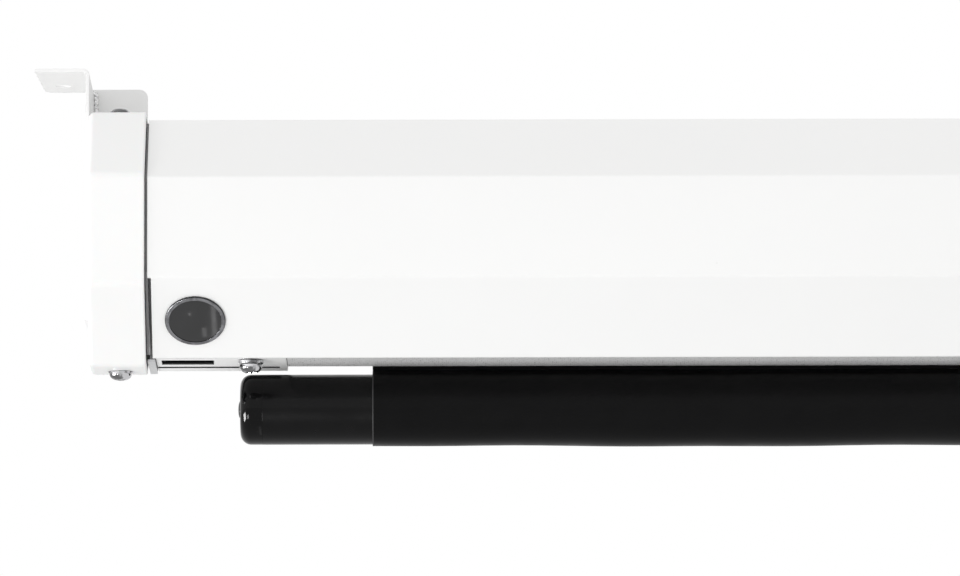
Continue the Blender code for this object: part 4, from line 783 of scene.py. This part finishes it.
def makeEndCap(name, side):
    k = capShape
    inner, outer = along(side, -k["seam"]), along(side, -k["seam"] - k["width"])
    stations = [(inner + side * k["innerRim"] * (1 - math.cos(a)), k["innerRim"] * (1 - math.sin(a)))
                for a in quarterTurn(4)]
    stations += [(outer - side * k["outerRim"] * (1 - math.sin(a)), k["outerRim"] * (1 - math.cos(a)))
                 for a in quarterTurn(8)]
    obj = capForm(f"endCap{name.capitalize()}", stations, ("whiteMoulding",))
    room = [(x - side * k["wall"], k["wall"]) for x in (inner, outer)]
    tools = [capForm("capRoom", room, ())]
    # The screws' places, and which way is into the cap there
    top, low = high(caseShape["height"] + k["rise"]), high(-k["drop"])
    screws = [
        ((along(side, -k["screwTopInset"]), deep(k["screwTopDepth"]), top), -1),
        ((along(side, -k["screwLowInset"]), deep(k["screwLowDepth"]), low), 1),
    ]
    hole = caseShape["screwHole"]
    tools += [drill("capHole", hole, place, (0, 0, 1)) for place, way in screws]
    tools += [boltSeat(side, height) for height in k["boltHeights"]]
    cutOut(obj, tools)
    # Sleeves for the bracket's bolts and seats for the screws, inside
    bm = bmesh.new()
    bm.from_mesh(obj.data)

    def boss(length, bore, base, direction):
        outline = [(k["bossRadius"], 0), (k["bossRadius"], length), (bore, length), (bore, 0)]
        turned(bm, outline, Vector(base) + Vector(direction) * k["bossStart"], direction, 32)

    for height in k["boltHeights"]:
        boss(k["boltBoss"], k["boltHole"], (outer, deep(k["boltDepth"]), high(height)), (-side, 0, 0))
    for place, way in screws:
        boss(k["screwBoss"], hole, place, (0, 0, way))
    bm.to_mesh(obj.data)
    bm.free()
    settled(obj)
    placedOn(obj, "housing", "white_plastic", f"end_cap_{name}")


onBothSides(makeEndCap)
print("end caps made")

# Brackets: a bent sheet, a rear plate and the weld that joins them
bracketShape = {
    "sheet": 0.0013, "bend": 0.0022, "inner": 0.0215, "flange": 0.0182, "frontDepth": 0.0280,
    "foot": 0.0140, "farCorner": 0.0040, "slant": 0.0022, "waste": 0.005, "softEdge": 0.0002,
    "hole": 0.00275, "flangeHoleDepth": 0.0640,
    "rearReach": 0.0194, "rearTop": 0.0003, "rearCorner": 0.0030,
    "wallSlotLength": 0.0100, "wallSlotHeights": (0.0240, 0.0700),
}


def makeBentSheet(name, side):
    b = bracketShape
    innerX = along(side, -b["inner"])
    tipX = along(side, -b["inner"] - b["sheet"] - b["flange"])
    front, rear = deep(b["frontDepth"]), -b["sheet"] / 2
    section = filleted([(tipX, 0.0), (innerX, 0.0), (innerX, high(b["foot"]))], b["bend"], 10)
    path = [(x, front, z) for x, z in section]
    obj = foldedSheet(f"bracket{name.capitalize()}", path, (0, rear - front, 0), (0, 0, 1), b["sheet"],
                      ("shadedBracketCoat",))
    tools = [boltSeat(side, height) for height in capShape["boltHeights"]]
    holeX = along(side, -b["inner"] - b["sheet"] - b["flange"] / 2)
    tools.append(drill("flangeHole", b["hole"], (holeX, deep(b["flangeHoleDepth"]), 0), (0, 0, 1)))
    # The flange's outer edge slants, with a rounded corner at the wall
    start = (tipX + side * b["slant"], front - (rear - front))
    farCorner = (tipX - side * b["slant"], rear)
    arc = filleted([start, farCorner, (innerX, rear)], b["farCorner"], 12)[:-1]
    beyond = tipX + side * 3 * b["slant"]
    waste = [*arc, (arc[-1][0], rear + b["waste"]), (beyond, rear + b["waste"]), (beyond, start[1])]
    tools.append(plate("cornerWaste", [waste], 2 * toolReach, level, (0, 0, 0)))
    cutOut(obj, tools)
    softEdges(obj, b["softEdge"], 2)
    settled(obj)
    placedOn(obj, "housing", "white_paint", f"bracket_{name}")


def makeRearPlate(name, side):
    b = bracketShape
    top, foot = -b["rearTop"], high(b["foot"])
    endX = along(side, -b["inner"] + b["rearReach"])
    weldX = along(side, -b["inner"] - b["sheet"] / 2)
    outline = filleted([(weldX, top), (endX, top), (endX, foot), (weldX, foot)],
                       [0, b["rearCorner"], 0, 0], 10, closed=True)
    middle = (weldX + endX) / 2
    half = b["wallSlotLength"] / 2
    slots = [slotOutline(middle - half, middle + half, high(height) - b["hole"], high(height) + b["hole"])
             for height in b["wallSlotHeights"]]
    obj = plate(f"rearPlate{name.capitalize()}", [outline, *slots], b["sheet"], facingFront,
                (0, -b["sheet"] / 2, 0), ("shadedBracketCoat",))
    softEdges(obj, b["softEdge"], 2)
    settled(obj)
    placedOn(obj, "housing", "white_paint")


# Weld: a row of beads up the bracket's corner
weldShape = {
    "radius": 0.0013, "pitch": 0.0016, "swell": 0.0007, "lean": 0.0003, "sway": (0.00012, 0.00008),
    "inCorner": 0.0006, "foot": 0.0003, "top": 0.0010, "rings": 90, "sides": 16, "endRings": 3,
}


def makeWeld(name, side):
    w = weldShape
    start = high(caseShape["height"] + capShape["rise"] + w["foot"])
    end = -w["top"]
    count = w["rings"]
    rings = []
    for step in range(count + 1):
        z = start + (end - start) * step / count
        phase = (z - start) / w["pitch"]
        swell = w["swell"] * abs(math.sin(math.pi * phase)) ** 0.6
        sway = w["sway"][0] * math.sin(2.3 * phase) + w["sway"][1] * math.sin(5.1 * phase + 1.0)
        close = min(1.0, step / w["endRings"], (count - step) / w["endRings"]) ** 0.5
        radius = (w["radius"] - w["swell"] + swell) * max(close, 0.05)
        x = along(side, -bracketShape["inner"] + w["inCorner"]) + side * sway
        y = -bracketShape["sheet"] - w["inCorner"] + sway
        ring = []
        for k in range(w["sides"]):
            around = 2 * math.pi * k / w["sides"]
            aside, ahead = roundPoint(radius, around)
            ring.append((x + aside, y + ahead, z + w["lean"] * math.cos(around + math.pi * 0.75)))
        rings.append(ring)
    bm = bmesh.new()
    joined(bm, rings)
    placedOn(made(f"weld{name.capitalize()}", bm, ("weldBead",), 80), "housing", "zinc_plate")


def makeBracket(name, side):
    makeBentSheet(name, side)
    makeRearPlate(name, side)
    makeWeld(name, side)


onBothSides(makeBracket)
print("brackets welded")

# Screws: domed heads with a cross recess; the brackets' bolts have sunk heads with a hexagon socket
screwShapes = {
    "panScrew": {"head": 0.0080, "height": 0.0031, "shank": 0.0038, "length": 0.0080, "collar": 0},
    "collarScrew": {"head": 0.0080, "height": 0.0031, "shank": 0.0038, "length": 0.0080, "collar": 0.0089},
    "collarThick": 0.0006, "chamfer": 0.0001, "uprightShare": 0.25, "bulge": 0.8,
    "bracketBolt": {"head": 0.0096, "edge": 0.0002, "shank": 0.0048, "length": 0.0289, "tip": 0.0004,
                    "socket": 0.0017, "socketDepth": 0.0018, "socketTaper": 0.0003, "softEdge": 0.00008},
    "crossSpan": 0.50, "crossWidth": 0.14, "crossDepth": 0.60, "crossEdge": 0.0002, "cutAbove": 0.001,
    "gap": 0.0003, "collarGap": 0.0001, "coverPlace": (0.0360, 0.0310), "coverDrop": 0.0018,
    "washer": {"radius": 0.0045, "bore": 0.0022, "thick": 0.0012, "edge": 0.0003, "drop": 0.0015},
}


def boltMesh():
    s, chamfer = screwShapes["bracketBolt"], screwShapes["chamfer"]
    head, shank, tip = s["head"] / 2, s["shank"] / 2, s["tip"]
    cone = head - shank
    profile = [(0, 0), (head - chamfer, 0), (head, -chamfer), (head, -s["edge"]), (shank, -s["edge"] - cone),
               (shank, -s["length"] + tip), (shank - tip, -s["length"]), (0, -s["length"])]
    bm = bmesh.new()
    turned(bm, profile, (0, 0, 0), (0, 0, 1), 72)
    obj = made("bracketBolt", bm, ("zincPlate",))
    levels = ((0.8, -s["socketDepth"] - s["socketTaper"]), (1, -s["socketDepth"]),
              (1, screwShapes["cutAbove"]))
    bm = bmesh.new()
    joined(bm, [[(*roundPoint(s["socket"] * share, math.pi * n / 3), z) for n in range(6)]
                for share, z in levels])
    cutOut(obj, [made("socketTool", bm, ())])
    softEdges(obj, s["softEdge"], 1, 40)
    settled(obj, 30)
    return meshAlone(obj)


def screwMesh(kind):
    s, t = screwShapes[kind], screwShapes
    radius, rim = s["head"] / 2, s["height"] * t["uprightShare"]
    dome = [(radius * math.sin(a) ** t["bulge"], rim + (s["height"] - rim) * math.cos(a))
            for a in quarterTurn(18)]
    dome[0] = (0.0, s["height"])
    shank = s["shank"] / 2
    seat = radius
    if s["collar"]:
        seat = s["collar"] / 2
        dome += [(radius, t["collarThick"]), (seat - 2 * t["chamfer"], t["collarThick"] - t["chamfer"])]
    profile = dome + [(seat, t["chamfer"]), (seat - t["chamfer"], 0), (shank, 0), (shank, -s["length"]),
                      (0, -s["length"])]
    bm = bmesh.new()
    turned(bm, profile, (0, 0, 0), (0, 0, 1), 72)
    obj = made(kind, bm, ("screwChrome",))
    far, near = s["head"] * t["crossSpan"] / 2, s["head"] * t["crossWidth"] / 2
    plus = [(near, near), (near, far), (-near, far), (-near, near), (-far, near), (-far, -near),
            (-near, -near), (-near, -far), (near, -far), (near, -near), (far, -near), (far, near)]
    depth = s["height"] * t["crossDepth"]
    levels = ((0.35, s["height"] - depth), (1.0, s["height"] - t["crossEdge"]),
              (1.15, s["height"] + t["cutAbove"]))
    bm = bmesh.new()
    joined(bm, [[(x * share, y * share, z) for x, y in plus] for share, z in levels])
    cutOut(obj, [made("crossTool", bm, ())])
    settled(obj, 30)
    return meshAlone(obj)


def setScrew(name, mesh, base, direction, spin, node, slot="chrome"):
    obj = bpy.data.objects.new(name, mesh)
    scene.collection.objects.link(obj)
    obj.matrix_world = standing(base, direction) @ Matrix.Rotation(math.radians(spin), 4, "Z")
    placedOn(obj, "housing", slot, node)


def setWasher(name, side):
    w = screwShapes["washer"]
    inset, depth = screwShapes["coverPlace"]
    corners = [(w["radius"], w["thick"]), (w["radius"], 0), (w["bore"], 0), (w["bore"], w["thick"])]
    bm = bmesh.new()
    turned(bm, filleted(corners, w["edge"], 4, closed=True),
           (along(side, inset), deep(depth), high(-w["drop"])), (0, 0, 1), 64)
    washer = made(f"coverWasher{name.capitalize()}", bm, ("screwChrome",))
    placedOn(washer, "housing", "chrome", f"cover_washer_{name}")


def setScrews():
    # The spins differ, as no two screws stop at the same turn, and they set where the chrome's painted
    # reflections fall
    c, k, s = caseShape, capShape, screwShapes
    pan, wide, bolt = screwMesh("panScrew"), screwMesh("collarScrew"), boltMesh()
    gap = s["gap"]
    for index, (name, side) in enumerate(sides.items()):
        label = name.capitalize()
        capTop, capLow = high(c["height"] + k["rise"]) + gap, high(-k["drop"]) - s["collarGap"]
        place = (along(side, -k["screwTopInset"]), deep(k["screwTopDepth"]), capTop)
        setScrew(f"capScrew{label}Top", pan, place, (0, 0, 1), 102 + 35 * index, f"cap_screw_{name}_top")
        place = (along(side, -k["screwLowInset"]), deep(k["screwLowDepth"]), capLow)
        setScrew(f"capScrew{label}Bottom", wide, place, (0, 0, -1), 52 + 20 * index,
                 f"cap_screw_{name}_bottom")
        x = along(side, c["screwInset"])
        place = (x, deep(c["screwTopDepth"]), caseHigh.z + gap)
        setScrew(f"caseScrew{label}Top", pan, place, (0, 0, 1), 75 - 30 * index, f"case_screw_{name}_top")
        place = (x, caseHigh.y + gap, high(c["screwRearHeight"]))
        setScrew(f"caseScrew{label}Rear", pan, place, (0, 1, 0), 12 + 40 * index, f"case_screw_{name}_rear")
        inset, depth = s["coverPlace"]
        place = (along(side, inset), deep(depth), high(-s["coverDrop"]))
        setScrew(f"coverScrew{label}", pan, place, (0, 0, -1), 33 + 50 * index, f"cover_screw_{name}")
        boltX = along(side, -bracketShape["inner"] - bracketShape["sheet"])
        for which, height in zip(("lower", "upper"), k["boltHeights"]):
            place = (boltX, deep(k["boltDepth"]), high(height))
            setScrew(f"bracketBolt{label}{which.capitalize()}", bolt, place, (side, 0, 0),
                     8 + 60 * index + height * 900, f"bracket_bolt_{name}_{which}", "zinc_plate")
        setWasher(name, side)


setScrews()
print("screws driven")

# Covers over the slot's ends, folded from thinner sheet; the left one has the access slot
coverShape = {
    "sheet": 0.0008, "fold": 0.0016, "start": 0.0024, "end": 0.0486, "front": 0.0272, "rear": 0.0658,
    "rise": 0.0121, "slotCorner": 0.0010, "screwHole": 0.0022, "softEdge": 0.0001,
    "sideSlot": (0.0000, 0.0460, 0.0512, 0.0562), "accessSlot": (0.0042, 0.0225, 0.0327, 0.0457),
}


def makeSlotCover(name, side):
    c = coverShape
    xLow, xHigh = spanX(side, c["start"], c["end"])
    section = filleted([(c["front"], 0), (c["rear"], 0), (c["rear"], c["rise"])], c["fold"], 8)
    path = [(xLow, deep(d), high(z)) for d, z in section]
    obj = foldedSheet(f"slotCover{name.capitalize()}", path, (xHigh - xLow, 0, 0), (0, 1, -1), c["sheet"],
                      ("whitePowderCoat", "insideShadeBlack"))
    first, last, near, far = c["sideSlot"]
    x = spanX(side, first, last)
    corners = [(x[0], deep(near)), (x[1], deep(near)), (x[1], deep(far)), (x[0], deep(far))]
    outline = filleted(corners, c["slotCorner"], 6, closed=True)
    tools = [plate("sideSlot", [outline], 2 * toolReach, level, (0, 0, high(0)))]
    if side < 0:
        first, last, near, far = c["accessSlot"]
        tools.append(block("accessSlot", side, (first, last), (near, far), (-toolReach, toolReach)))
    inset, depth = screwShapes["coverPlace"]
    tools.append(drill("coverHole", c["screwHole"], (along(side, inset), deep(depth), high(0)), (0, 0, 1)))
    cutOut(obj, tools)
    # The slots' cut edges get the near-black of the inside too: painted shade
    for face in obj.data.polygons:
        depth = face.center.y - caseLow.y
        inside = c["front"] + 0.001 < depth < c["rear"] - 0.002
        if inside and abs(face.normal.z) < 0.5 and abs(abs(face.center.x) - caseHigh.x + c["end"]) > 0.0005:
            face.material_index = 1
    softEdges(obj, c["softEdge"], 1)
    settled(obj)
    placedOn(obj, "housing", "white_paint", f"slot_cover_{name}")


onBothSides(makeSlotCover)
print("slot covers made")

# End plates: the rim that fills the seam beside the cap, and the foot beside the cover
plateShape = {
    "rimOut": 0.0008, "rimIn": -0.00025, "edge": 0.0012, "rim": 0.0030, "rimSoftEdge": 0.0001,
    "foot": (-0.0006, 0.0021), "footDepths": (0.0275, 0.0650), "footHeights": (-0.0010, -0.00005),
    "footSoftEdge": 0.0002,
}


def makePlateTrim(name, side):
    c, p = caseShape, plateShape
    label = name.capitalize()
    outlines = []
    for inset in (p["edge"], p["edge"] + p["rim"]):
        cut = (2 - math.sqrt(2)) * inset
        low, top = c["lowChamfer"], c["topChamfer"]
        corners = [(low, inset), (low - cut + inset, inset), (inset, low - cut + inset),
                   (inset, c["height"] - top + cut - inset), (top - cut + inset, c["height"] - inset),
                   (c["depth"] / 2, c["height"] - inset)]
        outlines.append([(deep(d), high(z)) for d, z in corners])
    outline = outlines[0] + list(reversed(outlines[1]))
    xLow, xHigh = spanX(side, -p["rimOut"], -p["rimIn"])
    # The rim is painted dark grey: the shade in the seam beside the cap
    rim = plate(f"plateRim{label}", [outline], xHigh - xLow, across, ((xLow + xHigh) / 2, 0, 0),
                ("seamShadeSteel",))
    softEdges(rim, p["rimSoftEdge"], 1)
    settled(rim)
    placedOn(rim, "housing", "zinc_plate")
    foot = block(f"plateFoot{label}", side, p["foot"], p["footDepths"], p["footHeights"])
    foot.data.materials.append(finishes["zincPlate"])
    softEdges(foot, p["footSoftEdge"], 2)
    settled(foot)
    placedOn(foot, "housing", "zinc_plate")
    # The end plate itself gets the same painted shade
    for slot in frame["nodes"][f"end_plate_{name}"].material_slots:
        slot.material = finishes["seamShadeSteel"]


onBothSides(makePlateTrim)
print("end plates trimmed")

# Infrared eye: bright bezel and smoked window
eyeShape = {
    "flange": 0.01075, "flangeThick": 0.0008, "barrel": 0.0094, "barrelLength": 0.0060, "bore": 0.0078,
    "glass": 0.0092, "glassThick": 0.0005, "dome": 0.0002, "gap": 0.00015, "paintedShadowRim": 0.00025,
    "fillets": (0.00004, 0.0005, 0.0001, 0, 0.0003, 0.0003, 0.0001, 0),
}


def makeEye():
    e = eyeShape
    seat = e["flangeThick"] - e["glassThick"]
    pocket = e["glass"] + e["gap"]
    corners = [
        (pocket, e["flangeThick"]), (e["flange"], e["flangeThick"]), (e["flange"], 0), (e["barrel"], 0),
        (e["barrel"], -e["barrelLength"]), (e["bore"], -e["barrelLength"]), (e["bore"], seat - e["gap"]),
        (pocket, seat - e["gap"]),
    ]
    bm = bmesh.new()
    turned(bm, filleted(corners, e["fillets"], 8, closed=True), eyePlace + eyeOut * e["gap"], eyeOut, 128)
    bezel = made("eyeBezel", bm, ("dullChrome", "shadowLineChrome"))
    # The flange's outer edge is painted dark: a painted shadow line round the bezel
    for face in bezel.data.polygons:
        out = face.center - eyePlace
        aside = (out - eyeOut * out.dot(eyeOut)).length
        if aside > e["flange"] - e["paintedShadowRim"]:
            face.material_index = 1
    placedOn(bezel, "housing", "chrome", "eye_bezel")
    # The window is slightly domed
    shares = [step / 12 for step in range(13)]
    dome = [(e["glass"] * share, e["glassThick"] - e["dome"] * share**2) for share in shares]
    bm = bmesh.new()
    turned(bm, dome + [(e["glass"], 0), (0, 0)], eyePlace + eyeOut * (seat + e["gap"]), eyeOut, 96)
    placedOn(made("eyeWindow", bm, ("smokedWindow",)), "housing", "dark_window", "eye_window")


makeEye()
print("infrared eye set")

# Weight bar: painted steel tube, moulded plugs and the fabric sleeve round it
barShape = {
    "radius": 0.0125, "wall": 0.0012, "tubeEdge": 0.00006, "depth": 0.05553, "height": -0.0150,
    "inset": 0.0318, "collar": 0.0080, "spigot": 0.0160, "gap": 0.0003,
    "nose": 0.0040, "collarEdge": 0.0001, "spigotEdge": 0.001,
    "pipRadius": 0.0031, "pipHeight": 0.0008, "pipRoot": 0.0005,
    "sleeveInner": 0.0128, "fabric": 0.0004, "apex": 0.0140, "sleeveHalf": 0.9580,
    "sleeveWave": 0.00012, "cutEdge": 0.0004,
}
barY, barZ = deep(barShape["depth"]), high(barShape["height"])


def makeBar():
    b = barShape
    half = caseHigh.x - b["inset"] - b["collar"]
    bore = b["radius"] - b["wall"]
    corners = [(b["radius"], 2 * half), (b["radius"], 0), (bore, 0), (bore, 2 * half)]
    bm = bmesh.new()
    turned(bm, filleted(corners, b["tubeEdge"], 3, closed=True), (-half, barY, barZ), (1, 0, 0), 128)
    placedOn(made("barTube", bm, ("glossBlackPaint",)), "weight_bar", "black_paint", "bar_tube")


def makeBarPlug(name, side):
    b = barShape
    spigot, root = b["radius"] - b["wall"] - b["gap"], -b["collar"] - b["spigot"]
    corners = [(0, 0), (b["radius"], 0), (b["radius"], -b["collar"]), (spigot, -b["collar"]), (spigot, root),
               (0, root)]
    profile = filleted(corners, [0, b["nose"], b["collarEdge"], 0, b["spigotEdge"], 0], 12)
    pip = [(b["pipRadius"] * math.sin(a), b["pipHeight"] * math.cos(a)) for a in quarterTurn(10)]
    pip += [(b["pipRadius"], -b["pipRoot"]), (0, -b["pipRoot"])]
    end = (along(side, b["inset"]), barY, barZ)
    bm = bmesh.new()
    turned(bm, profile, end, (side, 0, 0), 128)
    turned(bm, pip, end, (side, 0, 0), 48)
    plug = made(f"barPlug{name.capitalize()}", bm, ("glossBlackPlug",))
    placedOn(plug, "weight_bar", "black_gloss", f"bar_cap_{name}")


def sleeveSection(radius, apex, steps=64):
    opening = math.acos(radius / apex)
    points = [(0.0, apex)]
    for step in range(steps + 1):
        points.append(roundPoint(radius, math.pi / 2 + opening + 2 * (math.pi - opening) * step / steps))
    return points


def makeSleeve():
    # Cloth round the bar: its skin wavers a little along the way, less where the bar holds it
    b = barShape
    outer = sleeveSection(b["sleeveInner"] + b["fabric"], b["apex"] + b["fabric"])
    inner = sleeveSection(b["sleeveInner"], b["apex"] - b["fabric"])
    count = 192
    stations = [-b["sleeveHalf"] + 2 * b["sleeveHalf"] * k / count for k in range(count + 1)]
    stations[1:1] = [stations[0] + b["cutEdge"]]
    stations[-1:-1] = [stations[-1] - b["cutEdge"]]
    bm = bmesh.new()
    skins = []
    for section, share in ((outer, 1.0), (inner, 0.6)):
        rows = []
        for x in stations:
            row = []
            for y, z in section:
                around = math.atan2(z, y)
                wave = (math.sin(x * 41 + 1.7 * math.sin(around)) + 0.7 * math.sin(x * 97 + 2 * around + 1.1)
                        + 0.5 * math.sin(x * 19 - around * 3))
                low = max(0.0, -math.sin(around))
                swell = 1 + share * (b["sleeveWave"] * wave * (0.4 + 0.9 * low)) / b["sleeveInner"]
                row.append(bm.verts.new((x, barY + y * swell, barZ + z * swell)))
            rows.append(row)
        for index, (one, two) in enumerate(zip(rows, rows[1:])):
            for face in skin(bm, one, two):
                face.material_index = int(index in (0, len(rows) - 2))
        skins.append(rows)
    for end in (0, -1):
        for face in skin(bm, skins[0][end], skins[1][end]):
            face.material_index = 1
    obj = made("barSleeve", bm, ("blackBorderFabric", "fabricCutEdge"), 50)
    placedOn(obj, "weight_bar", "black_fabric", "bar_sleeve")
    around = 2 * math.pi * (b["sleeveInner"] + b["fabric"] / 2)


makeBar()
onBothSides(makeBarPlug)
makeSleeve()
print("weight bar made")

# The rolled fabric, wound with its black back outwards
rollShape = {"outer": 0.02443, "inner": 0.0203, "fabric": 0.0004, "half": 0.9580, "points": 161}


def makeRoll():
    r = rollShape
    centre = Vector(rollerAxis)
    count = r["points"]
    spiral = []
    for step in range(count):
        share = step / (count - 1)
        spiral.append(roundPoint(r["outer"] - r["fabric"] * share, 2 * math.pi * share))
    bore = [roundPoint(r["inner"], 2 * math.pi * k / count) for k in range(count)]
    bm = bmesh.new()
    skins = []
    for outline in (spiral, bore):
        rows = [[bm.verts.new((x, centre.y + y, centre.z + z)) for y, z in outline]
                for x in (-r["half"], r["half"])]
        skin(bm, *rows)
        skins.append(rows)
    for end in (0, 1):
        for face in skin(bm, skins[0][end], skins[1][end]):
            face.material_index = 1
    obj = made("woundFabric", bm, ("blackBacking", "rollEnd"), 40)
    placedOn(obj, "roller", "screen_fabric", "fabric_roll")


# Hanging fabric: black at its foot, its sides and its top, white between them, and black behind
dropShape = {
    "half": 0.9580, "sideBorder": 0.0280, "thick": 0.0004, "top": -0.0607, "foot": -0.1051,
    "rowsStart": -0.0940, "travel": 1.3, "footBorder": 0.060, "picture": 1.046, "wave": 0.0007,
    "pictureRows": 44, "pictureColumns": 48, "blackRow": 0.02,
}


def makeDrop():
    # The rows are set by where each one hangs when the bar is all the way down
    d = dropShape
    span = d["top"] - d["rowsStart"]

    def hang(z):
        t = min(1.0, max(0.0, (d["top"] - z) / span))
        return (d["top"] - z) + d["travel"] * t * t * (3 - 2 * t)

    def restOf(length):
        low, top = d["foot"], d["top"]
        for _ in range(60):  # halves the span until nothing of it is left
            middle = (low + top) / 2
            low, top = (middle, top) if hang(middle) > length else (low, middle)
        return (low + top) / 2

    def waver(x, z):
        hold = math.sin(math.pi * ((d["top"] - z) / (d["top"] - d["foot"])))
        return d["wave"] * hold * math.sin(x * 9 + 2.2 * math.sin(x * 3.1))

    pictureFoot = hang(d["foot"]) - d["footBorder"]
    pictureTop = pictureFoot - d["picture"]
    lengths = [0, pictureTop / 3, pictureTop * 2 / 3]
    lengths += [pictureTop + d["picture"] * k / d["pictureRows"] for k in range(d["pictureRows"] + 1)]
    heights = [restOf(length) for length in lengths]
    heights[0] = d["top"]
    heights += [restOf(pictureFoot + d["blackRow"]), d["rowsStart"], (d["rowsStart"] + d["foot"]) / 2,
                d["foot"]]
    inside = d["half"] - d["sideBorder"]
    columns = [-d["half"], -inside]
    columns += [-inside + 2 * inside * k / d["pictureColumns"] for k in range(1, d["pictureColumns"])]
    columns += [inside, d["half"]]
    bm = bmesh.new()
    layers = []
    for offset in (-d["thick"] / 2, d["thick"] / 2):
        layers.append([[bm.verts.new((x, barY + offset + waver(x, z), z)) for x in columns]
                       for z in heights])
    firstPicture, lastPicture = 3, len(lengths) - 1
    for layer, rows in enumerate(layers):
        for r, (one, two) in enumerate(zip(rows, rows[1:])):
            for c, face in enumerate(skin(bm, one, two, closed=False)):
                picture = firstPicture <= r < lastPicture and 0 < c < len(columns) - 2
                face.material_index = 2 if layer else int(picture)
    front, back = layers
    rims = [([row[end] for row in front], [row[end] for row in back]) for end in (0, -1)]
    rims += [(front[end], back[end]) for end in (0, -1)]
    for one, two in rims:
        for face in skin(bm, one, two, closed=False):
            face.material_index = 2
    obj = made("screenFabric", bm, ("blackBorderFabric", "matteScreenWhite", "blackBacking"), 50)
    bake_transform(obj)
    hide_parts("fabric_drop")


makeRoll()
makeDrop()
print("fabric wound and hung")


# Floor far below, because the screen hangs under a ceiling
def makeFloor():
    half, top = studio["floorSize"] / 2, studio["floorHeight"]
    corners = [(-half, -half), (half, -half), (half, half), (-half, half)]
    bm = bmesh.new()
    joined(bm, [[(x, y, z) for x, y in corners] for z in (top - studio["floorThick"], top)])
    finishes["paleFloor"] = surface("paleFloor", {
        "colour": studio["floorColour"], "drift": 0.01, "driftSize": 3.0,
        "roughness": (0.7, 0.8), "roughSize": 1.0,
    })
    made("studioFloor", bm, ("paleFloor",))


makeFloor()

print("scene ready")
